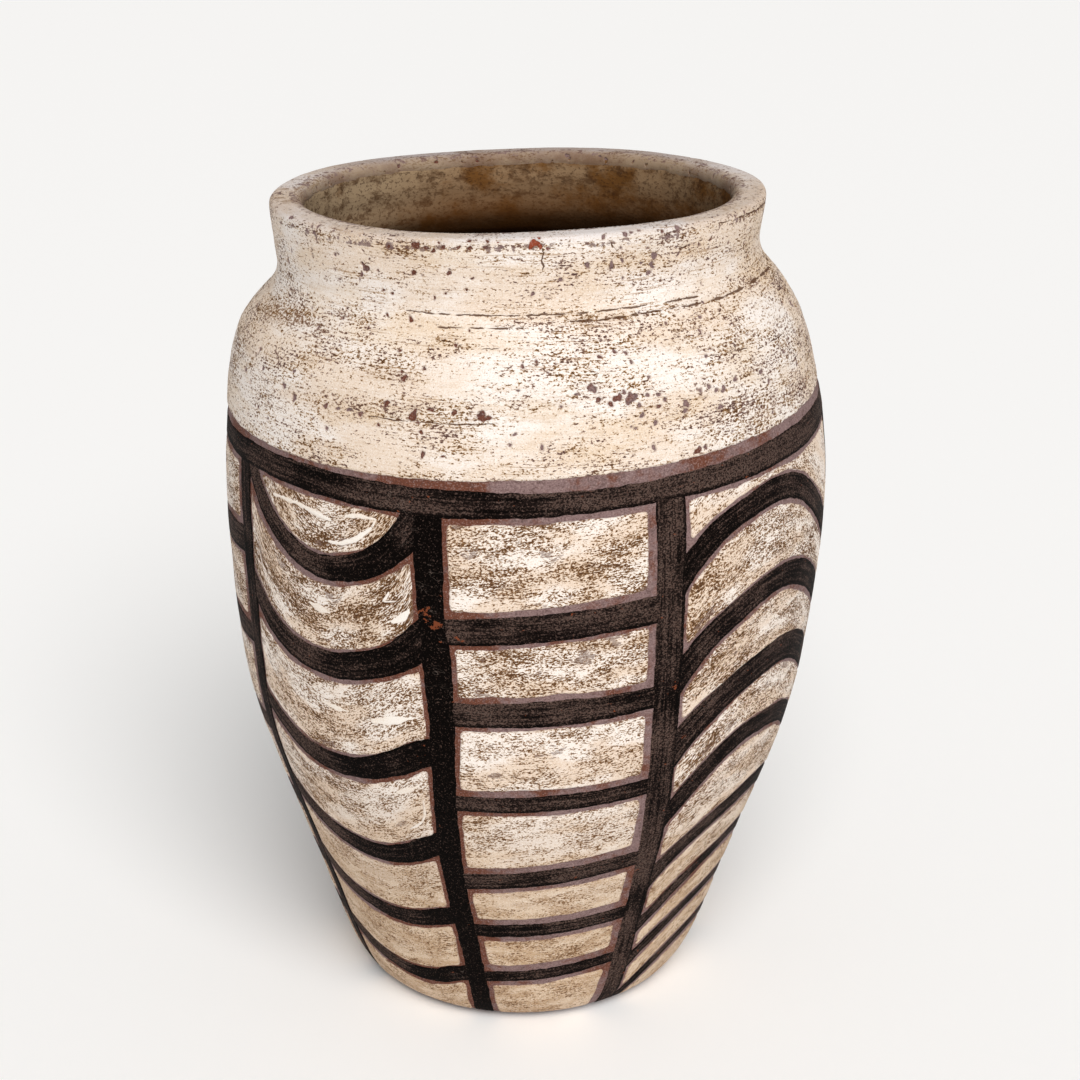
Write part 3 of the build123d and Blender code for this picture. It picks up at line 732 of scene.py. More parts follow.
def clay_material():
    """Bare clay, brick red to dusty mauve."""
    n = Nodes("terracotta")
    big = n.noise(n.scaled(34, 34, 44), 3, 0.6)
    mid = n.noise(n.scaled(260, 260, 330), 3, 0.62)
    fine = n.noise(n.scaled(1250, 1250, 1500), 2, 0.6)
    brick, mauve, dusk = lin(104, 60, 44), lin(130, 106, 104), lin(82, 60, 56)
    # redder on the left of the front, as fired
    sep = n.tree.nodes.new("ShaderNodeSeparateXYZ")
    n.tree.links.new(n.pos, sep.inputs[0])
    x = sep.outputs[0]
    red = n.step(n.math("ABSOLUTE", n.math("ADD", x, 0.040)), 0.036, 0.012, 0.0, 0.19)
    tint = n.math("SUBTRACT", n.math("ADD", n.math("MULTIPLY", big, 0.65), n.math("MULTIPLY", mid, 0.35)), red)
    col = n.mix(n.step(tint, 0.37, 0.52), brick, mauve)
    col = n.mix(n.step(mid, 0.54, 0.68, 0, 0.55), col, dusk)
    # fresh red where the lip is chipped at the front
    fresh = n.math("MULTIPLY", n.step(n.math("ABSOLUTE", x), 0.013, 0.008), n.step(sep.outputs[2], 0.384, 0.388))
    fresh = n.math("MULTIPLY", fresh, n.step(sep.outputs[1], 0.0, -0.06))
    col = n.mix(fresh, col, lin(142, 64, 38))
    col = n.mix(n.step(fine, 0.53, 0.66, 0, 0.6), col, lin(72, 52, 48))
    col = n.mix(n.step(fine, 0.46, 0.34, 0, 0.4), col, lin(172, 150, 144))
    n.bump(n.math("ADD", fine, n.math("MULTIPLY", mid, 0.6)), 0.0002, 0.6)
    return n.done(col, n.step(mid, 0.3, 0.7, 0.78, 0.92), 0.2)


def erosion(n, col, val, gate, brown, dark, tan, low=0.0):
    """Worn specks: a soft tan rim, crisp brown and a dark heart."""
    keep = n.math("MULTIPLY_ADD", low, -0.25, 1.0)
    col = n.mix(n.math("MULTIPLY", n.step(val, n.math("SUBTRACT", gate, 0.040), gate), 0.45), col, tan)
    col = n.mix(n.math("MULTIPLY", n.step(val, gate, n.math("ADD", gate, 0.014)), keep), col, brown)
    return n.mix(n.math("MULTIPLY", n.step(val, n.math("ADD", gate, 0.034), n.math("ADD", gate, 0.060)), keep), col, dark)


def cream_material():
    """Cream slip on neck and shoulder: pale, faintly brushed, with crisp worn specks."""
    n = Nodes("cream_slip")
    lip, lip_edge, dirt, scored = n.attr("lip"), n.attr("lip_edge"), n.attr("dirt"), n.attr("scored")
    broad = n.noise(n.scaled(13, 13, 34, (3, 1, 2)), 3, 0.55)
    patch = n.noise(n.scaled(15, 15, 50, (1, 7, 4)), 4, 0.6)
    wear = n.noise(n.scaled(24, 24, 66, (9, 2, 6)), 4, 0.62)
    coarse = n.noise(n.scaled(560, 560, 1150, (4, 4, 4)), 2.5, 0.62, 0.2)
    fine = n.noise(n.scaled(1050, 1050, 1850, (8, 1, 5)), 2, 0.6)
    dash = n.noise(n.scaled(110, 110, 1350, (2, 8, 3)), 3, 0.62)
    hair = n.noise(n.scaled(70, 70, 1150, (2, 3, 1)), 2, 0.55)
    grain = n.noise(n.scaled(1500, 1500, 2100), 2, 0.6)
    white, cream, ochre = lin(241, 233, 227), lin(230, 212, 195), lin(218, 189, 151)
    col = n.mix(n.step(broad, 0.42, 0.58), cream, white)
    col = n.mix(n.step(patch, 0.50, 0.66, 0, 0.40), col, ochre)
    col = n.mix(n.step(hair, 0.53, 0.66, 0, 0.30), col, lin(204, 176, 144))
    line = n.noise(n.scaled(46, 46, 1250, (4, 6, 9)), 2.5, 0.6)
    col = n.mix(n.math("MULTIPLY", n.step(line, 0.60, 0.64), n.step(wear, 0.42, 0.58, 0.10, 0.70)), col, lin(158, 122, 84))
    col = n.mix(n.step(grain, 0.53, 0.66, 0, 0.42), col, lin(202, 174, 144))
    col = n.mix(n.step(grain, 0.46, 0.34, 0, 0.5), col, lin(250, 245, 240))
    val = n.math("ADD", n.math("MULTIPLY", coarse, 0.46), n.math("ADD", n.math("MULTIPLY", fine, 0.30), n.math("MULTIPLY", dash, 0.24)))
    gate = n.math("MULTIPLY_ADD", wear, -0.27, n.step(n.height(), 0.362, 0.372, 0.684, 0.700))
    gate = n.math("MULTIPLY_ADD", lip, 0.002, n.math("MULTIPLY_ADD", lip_edge, -0.045, n.math("MULTIPLY_ADD", dirt, -0.036, gate)))
    sep = n.tree.nodes.new("ShaderNodeSeparateXYZ")
    n.tree.links.new(n.pos, sep.inputs[0])
    side = n.step(n.math("ABSOLUTE", sep.outputs[0]), 0.060, 0.120)
    gate = n.math("MULTIPLY_ADD", n.math("MULTIPLY", side, n.math("SUBTRACT", 1.0, lip, clamp=True)), -0.024, gate)
    hue = n.step(n.noise(n.scaled(90, 90, 120, (5, 5, 1)), 2, 0.5), 0.44, 0.56)
    brown = n.mix(hue, lin(150, 112, 70), lin(136, 106, 94))
    dark = n.mix(hue, lin(78, 50, 28), lin(82, 58, 52))
    on_lip = n.math("MINIMUM", lip, 1.0)
    brown = n.mix(on_lip, brown, lin(142, 116, 106))
    dark = n.mix(on_lip, dark, lin(100, 76, 70))
    col = erosion(n, col, val, gate, brown, dark, lin(206, 176, 140))
    col = n.mix(n.math("MULTIPLY", dirt, n.step(coarse, 0.38, 0.60, 0.06, 0.40)), col, lin(134, 98, 62))
    col = n.mix(n.math("MULTIPLY", lip, 0.40, clamp=True), col, lin(196, 194, 204), "MULTIPLY")
    # darker towards the back of the lip, where lip rises above 1: painted shade
    col = n.mix(n.step(lip, 1.05, 1.90, 0, 0.36), col, lin(176, 164, 156), "MULTIPLY")
    # it takes up the stain of the wash where it turns into the mouth
    wash = n.noise(n.scaled(34, 34, 46, (2, 2, 7)), 5, 0.66)
    col = n.mix(n.math("MULTIPLY", n.attr("inside"), 0.80), col, n.mix(n.step(wash, 0.40, 0.60), lin(158, 132, 102), lin(118, 84, 52)))
    # flakes lost along the edges of the lip
    flake = n.math("MULTIPLY_ADD", lip_edge, 0.10, n.noise(n.scaled(250, 250, 250, (3, 3, 3)), 5, 0.7))
    flake = n.math("MULTIPLY", n.step(flake, 0.600, 0.630), n.step(lip_edge, 0.25, 0.60, 0.0, 0.85))
    col = n.mix(flake, col, n.mix(hue, lin(112, 84, 76), lin(122, 98, 96)))
    # the scored grooves are painted dark brown: partly dirt in the cracks, partly painted shade in the crease
    col = n.mix(n.step(scored, 0.10, 0.50, 0, 0.92), col, lin(88, 56, 32))
    # a thin soiled line right at an edge
    soil = n.math("MULTIPLY", n.step(n.attr("edge_mm"), 0.8, 0.1), n.step(n.noise(n.scaled(400, 400, 400), 2, 0.5), 0.35, 0.6, 0.1, 0.6))
    col = n.mix(soil, col, lin(136, 110, 100))
    worn = n.step(val, gate, n.math("ADD", gate, 0.03))
    n.bump(n.math("SUBTRACT", n.math("ADD", n.math("MULTIPLY", hair, 0.35), n.math("MULTIPLY", grain, 0.30)), n.math("MULTIPLY", worn, 0.7)), 0.00022, 0.7)
    return n.done(col, n.math("MULTIPLY_ADD", worn, 0.2, 0.66), 0.25)


def field_material():
    """Cream fields between the strokes, brushed along them and heavily worn, and painted darker and browner towards the
    foot, partly as shade.
    """
    n = Nodes("cream_field")
    low = n.step(n.height(), 0.165, 0.065)
    u, v, tone, worn, pale = n.attr("along"), n.attr("across"), n.attr("tone"), n.attr("worn"), n.attr("pale")
    u = n.math("MULTIPLY_ADD", tone, 700.0, u)
    bent = n.noise(n.vec(n.math("MULTIPLY", u, 0.10), n.math("MULTIPLY", v, 0.12), 3.1), 2, 0.5)
    v = n.math("MULTIPLY_ADD", bent, 2.4, v)

    def flat(fu, fv, k):
        return n.vec(n.math("MULTIPLY", u, fu), n.math("MULTIPLY", v, fv), k)

    coarse = n.noise(flat(0.74, 1.50, 1.3), 3, 0.64)
    fine = n.noise(flat(1.20, 2.10, 4.7), 2, 0.6)
    dash = n.noise(flat(0.11, 1.35, 7.9), 3, 0.62)
    wear = n.noise(flat(0.045, 0.11, 2.2), 3, 0.6)
    broad = n.noise(flat(0.03, 0.07, 6.1), 2, 0.5)
    whole = n.step(n.noise(flat(0.055, 0.13, 9.4), 3, 0.62), 0.56, 0.61)
    grain = n.noise(n.scaled(1500, 1500, 2100), 2, 0.6)
    white, cream = lin(243, 233, 225), lin(229, 208, 189)
    col = n.mix(n.step(broad, 0.42, 0.58), cream, white)
    # towards the foot the fields are painted darker and browner: painted shade, mottled like a stain
    foot_stain_and_shade = n.noise(flat(0.060, 0.17, 8.8), 5, 0.66)
    col = n.mix(n.math("MULTIPLY", low, 0.9), col, n.mix(n.step(foot_stain_and_shade, 0.40, 0.60), lin(209, 184, 156), lin(180, 147, 111)))
    col = n.mix(n.step(grain, 0.53, 0.66, 0, 0.4), col, lin(208, 180, 148))
    col = n.mix(n.step(grain, 0.46, 0.34, 0, 0.45), col, lin(252, 247, 240))
    val = n.math("ADD", n.math("MULTIPLY", coarse, 0.48), n.math("ADD", n.math("MULTIPLY", fine, 0.31), n.math("MULTIPLY", dash, 0.21)))
    gate = n.math("MULTIPLY_ADD", wear, -0.26, n.math("MULTIPLY_ADD", worn, -0.10, 0.697))
    gate = n.math("MULTIPLY_ADD", whole, 0.045, n.math("MULTIPLY_ADD", pale, 0.30, n.math("MULTIPLY_ADD", low, 0.012, gate)))
    col = erosion(n, col, val, gate, lin(148, 109, 70), lin(84, 54, 30), lin(204, 172, 138), low)
    bald = n.noise(flat(0.045, 0.10, 5.5), 4, 0.66)
    bald = n.math("MULTIPLY", n.step(bald, 0.635, 0.655), n.math("SUBTRACT", 1.0, n.math("MAXIMUM", pale, low)))
    col = n.mix(n.math("MULTIPLY", bald, n.step(fine, 0.60, 0.52, 0.15, 0.75)), col, lin(122, 98, 88))
    col = n.mix(n.math("MULTIPLY", pale, n.step(grain, 0.40, 0.60, 0.72, 0.45)), col, lin(249, 242, 233))
    soil = n.math("MULTIPLY", n.step(n.attr("edge_mm"), 0.8, 0.1), n.step(n.noise(n.scaled(400, 400, 400), 2, 0.5), 0.35, 0.6, 0.1, 0.55))
    col = n.mix(n.math("MULTIPLY", soil, n.math("SUBTRACT", 1.0, pale)), col, lin(136, 110, 100))
    pits = n.step(val, gate, n.math("ADD", gate, 0.03))
    n.bump(n.math("SUBTRACT", n.math("ADD", n.math("MULTIPLY", dash, 0.35), n.math("MULTIPLY", grain, 0.30)), n.math("MULTIPLY", pits, 0.7)), 0.00024, 0.7)
    return n.done(col, n.math("MULTIPLY_ADD", pits, 0.2, 0.66), 0.25)


def dark_material():
    """Dark slip: black where it is thick, brown and grainy where it is thin."""
    n = Nodes("dark_slip")
    along, across, edge, tone = n.attr("along"), n.attr("across"), n.attr("edge_mm"), n.attr("tone")
    thin, bare = n.attr("thin"), n.attr("bare")
    shift = n.math("MULTIPLY", tone, 900.0)
    brush = n.noise(n.vec(n.math("MULTIPLY_ADD", along, 0.030, shift), n.math("MULTIPLY", across, 0.75), tone), 4, 0.65)
    cloud = n.noise(n.scaled(42, 42, 42, (3, 9, 1)), 3, 0.55)
    grain = n.noise(n.scaled(1000, 1000, 1400), 3, 0.68)
    speck = n.noise(n.scaled(1300, 1300, 1700, (7, 7, 2)), 2, 0.6)
    black, brown, umber = lin(7, 4, 3), lin(42, 31, 28), lin(84, 66, 59)
    pooled = n.math("MULTIPLY", n.step(edge, 2.4, 0.9), n.step(across, 0.5, -0.5))
    show = n.math("ADD", n.math("MULTIPLY", brush, 0.6), n.math("MULTIPLY_ADD", thin, 0.26, n.math("MULTIPLY", cloud, 0.4)))
    show = n.math("MULTIPLY", n.step(show, 0.52, 0.74), n.math("MULTIPLY_ADD", pooled, -0.8, 1.0))
    col = n.mix(n.math("MULTIPLY", show, 0.8), black, brown)
    gate = n.math("MULTIPLY_ADD", show, -0.13, 0.615)
    col = n.mix(n.math("MULTIPLY", n.step(grain, gate, n.math("ADD", gate, 0.035)), 0.85), col, umber)
    col = n.mix(n.step(speck, n.math("ADD", gate, 0.05), n.math("ADD", gate, 0.08), 0, 0.4), col, lin(118, 99, 90))
    col = n.mix(n.step(grain, 0.45, 0.37, 0, 0.65), col, lin(6, 3, 2))
    rub = n.math("ADD", n.math("MULTIPLY", bare, 0.23), n.math("MULTIPLY", n.noise(n.scaled(300, 300, 380, (5, 2, 8)), 3, 0.65), 1.0))
    col = n.mix(n.step(rub, 0.700, 0.73, 0, 0.85), col, lin(124, 66, 42))
    scratch = n.noise(n.scaled(34, 420, 260, (1, 5, 3)), 1.5, 0.5, 0.4)
    scratch = n.math("MULTIPLY", n.step(n.math("ABSOLUTE", n.math("SUBTRACT", scratch, 0.5)), 0.006, 0.002), n.step(cloud, 0.58, 0.62, 0, 0.45))
    col = n.mix(scratch, col, lin(120, 106, 98))
    n.bump(n.math("ADD", n.math("MULTIPLY", brush, 0.4), n.math("MULTIPLY", grain, 0.5)), 0.00014, 0.6)
    return n.done(col, n.math("MULTIPLY_ADD", grain, 0.25, 0.58), 0.03)


def inner_material():
    """Wash inside: stained ochre under the lip, darker further down, near black there as painted shade."""
    n = Nodes("inner_wash")
    z = n.height()
    sep = n.tree.nodes.new("ShaderNodeSeparateXYZ")
    n.tree.links.new(n.pos, sep.inputs[0])
    a = n.math("SUBTRACT", n.noise(n.scaled(34, 34, 46, (2, 2, 7)), 5, 0.66), n.step(sep.outputs[0], 0.0, -0.085, 0.0, 0.16))
    b = n.noise(n.scaled(95, 95, 170, (6, 1, 1)), 6, 0.74)
    c = n.noise(n.scaled(520, 520, 760), 3, 0.65)
    pale = n.mix(n.step(sep.outputs[0], -0.020, -0.085), lin(156, 127, 96), lin(172, 148, 118))
    ochre, brown = lin(116, 78, 39), lin(74, 44, 20)
    col = n.mix(n.step(a, 0.40, 0.60), pale, ochre)
    col = n.mix(n.step(b, 0.46, 0.64, 0, 0.75), col, brown)
    col = n.mix(n.step(c, 0.54, 0.62, 0, 0.6), col, lin(62, 42, 28))
    deep = n.math("MULTIPLY_ADD", b, 0.018, z)
    # darker brown below the lip, weaker on the left: partly stain, partly painted shade
    col = n.mix(n.math("MULTIPLY", n.step(deep, 0.402, 0.370, 0, 0.8), n.step(sep.outputs[0], -0.095, -0.030, 0.35, 1.0)), col, lin(98, 58, 24))
    # near black from about 380 mm down: painted shade deep in the mouth
    col = n.mix(n.step(deep, 0.382, 0.348, 0, 0.94), col, lin(18, 8, 2))
    col = n.mix(n.step(z, 0.325, 0.270, 0, 0.8), col, n.mix(n.step(b, 0.42, 0.62), lin(78, 56, 38), lin(48, 31, 18)))
    n.bump(n.math("ADD", b, n.math("MULTIPLY", c, 0.5)), 0.0004, 0.8)
    return n.done(col, 0.85, 0.08)


CLAY = clay_material()
CREAM = cream_material()
FIELD = field_material()
DARK = dark_material()
WASH = inner_material()

# ------------------------------------------------------------------ clay
COLS = 432
AZ = np.linspace(-180, 180, COLS, endpoint=False)


def clay_relief(theta, s):
    return 0.06 * vnoise(theta / 2.1, s / 5.0, 40) + 0.05 * vnoise(theta / 0.9, s / 2.0, 41)


def clay_ring(name, s0, s1, t0, t1, step=2.2):
    """Ring of wall: up the outside from s0 to s1, then down the inside from t1 to t0."""
    up = np.linspace(s0, s1, max(4, int((s1 - s0) / step)))
    down = np.linspace(t1, t0, max(4, int((t0 - t1) / step) + 1))
    rows = [place(AZ, s, clay_relief(AZ, s)) for s in up] + [place(AZ, s, np.zeros(COLS)) for s in down]
    make_object(name, np.vstack(rows), ring_faces(len(rows), COLS), CLAY, [name])


J = (BASE_THICK - COAT, 150.0, 262.0, 352.0, 387.0)
for nm, lo, hi in zip(("lower_wall", "belly_wall", "shoulder_wall", "neck_collar"), J, J[1:]):
    t_lo = SS[-1] - 0.5 if nm == "lower_wall" else s_in(lo)
    clay_ring(nm, s_of(lo), s_of(hi), t_lo, s_in(hi))
lip = np.concatenate([np.linspace(s_of(387.0), s_of(396.6), 8), np.linspace(s_of(396.6), s_of(399.97) + 1.0, 14)[1:], np.linspace(s_of(399.97) + 1.0, s_in(387.0), 30)[1:]])
lip_rows = [place(AZ, s, clay_relief(AZ, s)) for s in lip]
make_object("rim_ring", np.vstack(lip_rows), ring_faces(len(lip_rows), COLS), CLAY, ["rim_ring"])

# base slab: flat foot ring with a shallow hollow, closed on top
rows = []
for r in (0.5, 14, 30, 46, 58, 64, 69, 72):
    hollow = 1.1 * (1 - ramp(r, 52, 68)) + 0.25 * vnoise(AZ / 9 + r, r / 7.0, 3) * (r > 5) * (1 - ramp(r, 60, 70))
    rows.append(bend(AZ, np.full(COLS, float(r)), np.maximum(hollow, 0.0)))
for s in np.linspace(0, s_of(J[0]), 14):
    rows.append(place(AZ, s, clay_relief(AZ, s) * ramp(s, 6, 12)))
for r in (80, 60, 40, 20, 0.5):
    rows.append(bend(AZ, np.full(COLS, float(r)), np.full(COLS, J[0])))
faces = [tuple(f) for f in ring_faces(len(rows), COLS)[:(len(rows) - 1) * COLS]]
faces += [tuple(range(COLS))[::-1], tuple((len(rows) - 1) * COLS + k for k in range(COLS))]
make_object("base_disc", np.vstack(rows), faces, CLAY, ["base_disc"])

# ------------------------------------------------------------------ inner wash
down = np.concatenate([np.linspace(s_in(396.0), s_in(330), 46), np.linspace(s_in(330), SS[-1], 90)[1:]])
rows = [place(AZ, s, 0.04 + ramp(s, s_in(395.5), s_in(392.5)) * (0.5 + 0.12 * vnoise(AZ / 4, s / 9.0, 60) + 0.15 * np.sin(s * 0.45 + 0.4 * np.sin(np.radians(AZ))))) for s in down]
for r in (52, 34, 16, 2):
    rows.append(bend(AZ, np.full(COLS, float(r)), np.full(COLS, BASE_THICK) + 0.2 * vnoise(AZ / 12, r / 9.0, 61)))
for r in (2, 16, 34, 52):
    rows.append(bend(AZ, np.full(COLS, float(r)), np.full(COLS, BASE_THICK - 0.75)))
rows += [place(AZ, s, -0.15) for s in np.concatenate([down[:24], down[24:-1:3], down[-1:]])[::-1]]
make_object("inner_wash", np.vstack(rows), ring_faces(len(rows), COLS), WASH, ["inner_wash"])

# ------------------------------------------------------------------ cream coats with chips
K = math.radians(1) * 140.0      # flat millimetres per degree on the coats
U = 180 * K
rng = np.random.default_rng(20)


def blob(F, X, Y, x, y, rad, seed, squash=1.0, turn=0.0):
    """Cuts an irregular chip out of a coat's field."""
    g = X[0, 1] - X[0, 0]
    m = rad * 2.2 + 1
    i0, i1 = np.searchsorted(X[0], (x - m, x + m))
    j0, j1 = np.searchsorted(Y[:, 0], (y - m, y + m))
    if i1 - i0 < 2 or j1 - j0 < 2:
        return
    a, b = X[j0:j1, i0:i1] - x, Y[j0:j1, i0:i1] - y
    c, s = math.cos(turn), math.sin(turn)
    a, b = (a * c + b * s), (b * c - a * s) * squash
    ang = np.arctan2(b, a)
    wav = (0.24 * np.sin(2 * ang + seed) + 0.2 * np.sin(3 * ang + 1.7 * seed) + 0.14 * np.sin(5 * ang + 2.9 * seed)
           + 0.25 * vnoise(a / (rad * 0.6) + seed, b / (rad * 0.6), 77))
    F[j0:j1, i0:i1] = np.minimum(F[j0:j1, i0:i1], np.hypot(a, b) - rad * (1 + wav))


def near_line(F, X, Y, points):
    """Lowers a field to the distance from a line."""
    p = np.array(points, float)
    i0, i1 = np.searchsorted(X[0], (p[:, 0].min() - 3, p[:, 0].max() + 3))
    j0, j1 = np.searchsorted(Y[:, 0], (p[:, 1].min() - 3, p[:, 1].max() + 3))
    d = along_line(X[j0:j1, i0:i1], Y[j0:j1, i0:i1], p)[0]
    F[j0:j1, i0:i1] = np.minimum(F[j0:j1, i0:i1], d)


def groove(points, half, seed):
    """Flat points along a scored line: its middle, its two edges, and how deep it is."""
    p = np.array(points, float)
    d = np.concatenate([[0], np.cumsum(np.hypot(*np.diff(p, axis=0).T))])
    t = np.arange(0.0, d[-1], 0.5)
    c = np.stack([np.interp(t, d, p[:, 0]), np.interp(t, d, p[:, 1])], 1)
    g = np.gradient(c, axis=0)
    g /= np.maximum(np.linalg.norm(g, axis=1, keepdims=True), 1e-6)
    n = np.stack([-g[:, 1], g[:, 0]], 1)
    c = c + n * (0.24 * vnoise(t / 2.6, 0.4, seed) + 0.14 * vnoise(t / 0.9, 0.2, seed + 1))[:, None]
    w = np.clip(2.1 * half * (0.8 + 0.55 * vnoise(t / 3.0, 0.7, seed + 2)), 0.24, 1.1)
    deep = np.clip(0.85 + 1.1 * vnoise(t / 4.5, 0.9, seed + 3), 0, 1) * np.clip(np.minimum(t, d[-1] - t) / 1.5, 0, 1)
    return c, c + n * w[:, None], c - n * w[:, None], deep


def coat(name, s_low, s_high, chips, cracks, dv, low_edge, seed, thick_mm, extra=()):
    """A ring of slip between two lines, with chips cut right through to the clay."""
    gx, gy = 0.42, 0.42
    y0, y1 = float(np.min(s_low(AZ))) - 1, float(np.max(s_high(AZ))) + 1
    X, Y = np.meshgrid(np.arange(-U + 4, U - 4, gx), np.arange(y0, y1, gy))
    F = np.full(X.shape, 9.0)
    lines = F.copy()
    for pts_, half in cracks:
        near_line(lines, X, Y, pts_)
    for x, y, rad, sq, tr in chips:
        blob(F, X, Y, x, y, rad, seed + x, sq, tr)
    # chips keep clear of the coat's own edges
    F = np.where((Y < s_low(X / K) + 0.9) | (Y > s_high(X / K) - 0.9), 9.0, F)
    holes = [even(l, 0.55) for l in loops_of(F, X[0, 0], Y[0, 0], gx, gy)]
    holes = [h for h in holes if abs(area_of(h)) > 0.35]
    n_u = int(round(2 * U / 2.9))
    us = np.linspace(-U, U, n_u + 1)
    fine = np.linspace(-U, U, n_u * 2 + 1) if low_edge else us
    bottom = np.stack([fine, s_low(fine / K)], 1)
    sides = np.arange(s_low(np.array([180.0]))[0] + dv, s_high(np.array([180.0]))[0] - 0.4 * dv, dv)
    topl = np.stack([us, s_high(us / K)], 1)
    loop = np.vstack([bottom, np.stack([np.full(len(sides), U), sides], 1), topl[::-1],
                      np.stack([np.full(len(sides), -U), sides[::-1]], 1)])
    pts, edges = [loop], [(k, (k + 1) % len(loop)) for k in range(len(loop))]
    at = len(loop)
    for h in holes:
        pts.append(h)
        edges += [(at + k, at + (k + 1) % len(h)) for k in range(len(h))]
        at += len(h)
    def within(e, room, off_hole):
        e = e[(e[:, 1] > s_low(e[:, 0] / K) + room) & (e[:, 1] < s_high(e[:, 0] / K) - room) & (np.abs(e[:, 0]) < U - 3)]
        return e[sample(F, X[0, 0], Y[0, 0], gx, gy, e) > off_hole]

    for out, spacing in ((0.3, 0.55), (0.8, 0.9)):
        for l in loops_of(F - out, X[0, 0], Y[0, 0], gx, gy):
            pts.append(within(even(l, spacing), 0.5, 0.6 * out))
    # scored lines: a dark groove between two level edges
    middles, depths = [], []
    for pts_, half in cracks:
        c, a, b, deep = groove(pts_, half, seed + int(abs(pts_[0][0]) * 7))
        ok = (c[:, 1] > s_low(c[:, 0] / K) + 0.8) & (c[:, 1] < s_high(c[:, 0] / K) - 0.8) & (sample(F, X[0, 0], Y[0, 0], gx, gy, c) > 0.5)
        middles.append(c[ok])
        depths.append(deep[ok])
        pts += [c[ok], within(a, 0.4, 0.35), within(b, 0.4, 0.35)]
    rows_v = np.unique(np.concatenate([np.arange(y0, y1, dv), extra]))
    gu, gv = np.meshgrid(us[1:-1], rows_v)
    gu = gu + ((np.arange(len(rows_v)) % 2)[:, None] - 0.5) * 1.2
    q = np.stack([gu.ravel(), gv.ravel()], 1)
    low = s_low(q[:, 0] / K)
    clear = (sample(F, X[0, 0], Y[0, 0], gx, gy, q) > 1.1) & (sample(lines, X[0, 0], Y[0, 0], gx, gy, q) > 1.4)
    q = q[(q[:, 1] > low + 0.7 * dv) & (q[:, 1] < s_high(q[:, 0] / K) - 0.5 * dv) & clear]
    pts.append(q)
    if low_edge:
        for d in (0.4, 1.0):
            e = bottom[1:-1] + [0, d]
            pts.append(e[sample(F, X[0, 0], Y[0, 0], gx, gy, e) > 0.3])
    v, f = triangulate(np.vstack(pts), edges)
    mid = v[f].mean(1)
    f = f[within_loops(mid, [loop]) & ~within_loops(mid, holes)]
    # join the two sides of the seam at the back
    left = np.nonzero(np.abs(v[:, 0] + U) < 1e-3)[0]
    right = np.nonzero(np.abs(v[:, 0] - U) < 1e-3)[0]
    swap = np.arange(len(v))
    for r in right:
        swap[r] = left[np.argmin(np.abs(v[left, 1] - v[r, 1]))]
    f = swap[f]
    used = np.unique(f)
    remap = -np.ones(len(v), int)
    remap[used] = np.arange(len(used))
    v, f = v[used], remap[f]
    th = v[:, 0] / K
    hole_gap = np.maximum(sample(F, X[0, 0], Y[0, 0], gx, gy, v), 0)
    edge = np.minimum(hole_gap, v[:, 1] - s_low(th) if low_edge else s_high(th) - v[:, 1])
    edge = np.maximum(edge, 0)
    dome = 0.35 + 0.65 * np.sqrt(1 - (1 - np.minimum(edge / 0.8, 1)) ** 2)
    up = dome * (thick_mm + 0.10 * fnoise(v[:, 0] / 16, v[:, 1] / 5, seed) + 0.05 * vnoise(v[:, 0] / 40, v[:, 1] / 1.9, seed + 1))
    scored = np.zeros(len(v))
    centre, depth = np.vstack(middles), np.concatenate(depths)
    tree = KDTree(len(centre))
    for k, (a, b) in enumerate(centre):
        tree.insert(Vector((a, b, 0.0)), k)
    tree.balance()
    for k, (a, b) in enumerate(v):
        _, i, gap = tree.find(Vector((a, b, 0.0)))
        if gap < 0.01:
            scored[k] = depth[i]
    up = np.maximum(up - 0.36 * scored, 0.05)
    verts = np.vstack([place(th, v[:, 1], up), place(th, v[:, 1], -0.15)])
    # lip climbs to about 1.95 towards the back of the jar, carrying the painted shade on the back of the lip
    make_object(name, verts, thick(v, f), CREAM, [name],
                {"edge_mm": np.tile(edge, 2), "dirt": np.tile(soiled(th, v[:, 1]), 2),
                 "scored": np.tile(scored, 2),
                 "inside": np.tile(ramp(v[:, 1], s_in(399.6), s_in(396.8)), 2), "lip": np.tile(ramp(v[:, 1], s_of(396.0), s_of(399.0)) * (1 + 0.95 * ramp(np.abs(th), 95, 150)), 2),
                 "lip_edge": np.tile(np.exp(-((v[:, 1] - s_of(395.6)) / 1.6) ** 2) + 0.9 * np.exp(-((v[:, 1] - s_of(399.9) - 1.6) / 1.1) ** 2)
                                     + 0.75 * np.exp(-((v[:, 1] - s_in(398.6)) / 1.8) ** 2), 2)})


S_ROOT = float(s_of(369.0))

# patches where grime has settled: azimuth, height, half width across and up, amount
DIRT = [(-57, 356.4, 9, 4.2, 1.7), (-66, 354, 7, 5, 1.4), (-48, 355.5, 7, 2.4, 1.0), (-43, 361.5, 4, 1.6, .7), (-26.4, 393.2, 5, 2.6, 1.0), (-38, 395, 9, 2.2, .5), (-27.4, 343, 6, 3, .8),
        (-36, 329, 16, 5, .45), (-15, 331, 12, 5, .4), (15.5, 365, 9, 1.8, 1.1), (4, 337, 10, 7, .4), (55, 320, 11, 5, .6), (44, 316, 9, 4, .4),
        (21.9, 354, 14, 1.6, .55), (27, 392, 8, 3.5, .5), (40, 366, 12, 2, .6), (64, 367, 12, 1.6, 1.0), (-70, 335, 9, 8, .5),
        (100, 352, 14, 5, .7), (130, 330, 20, 6, .5), (160, 360, 14, 4, .8), (-160, 340, 16, 6, .6), (-120, 358, 14, 4, .8), (-100, 326, 14, 5, .5), (-135, 392, 16, 3, .7), (110, 391, 14, 3, .7)]


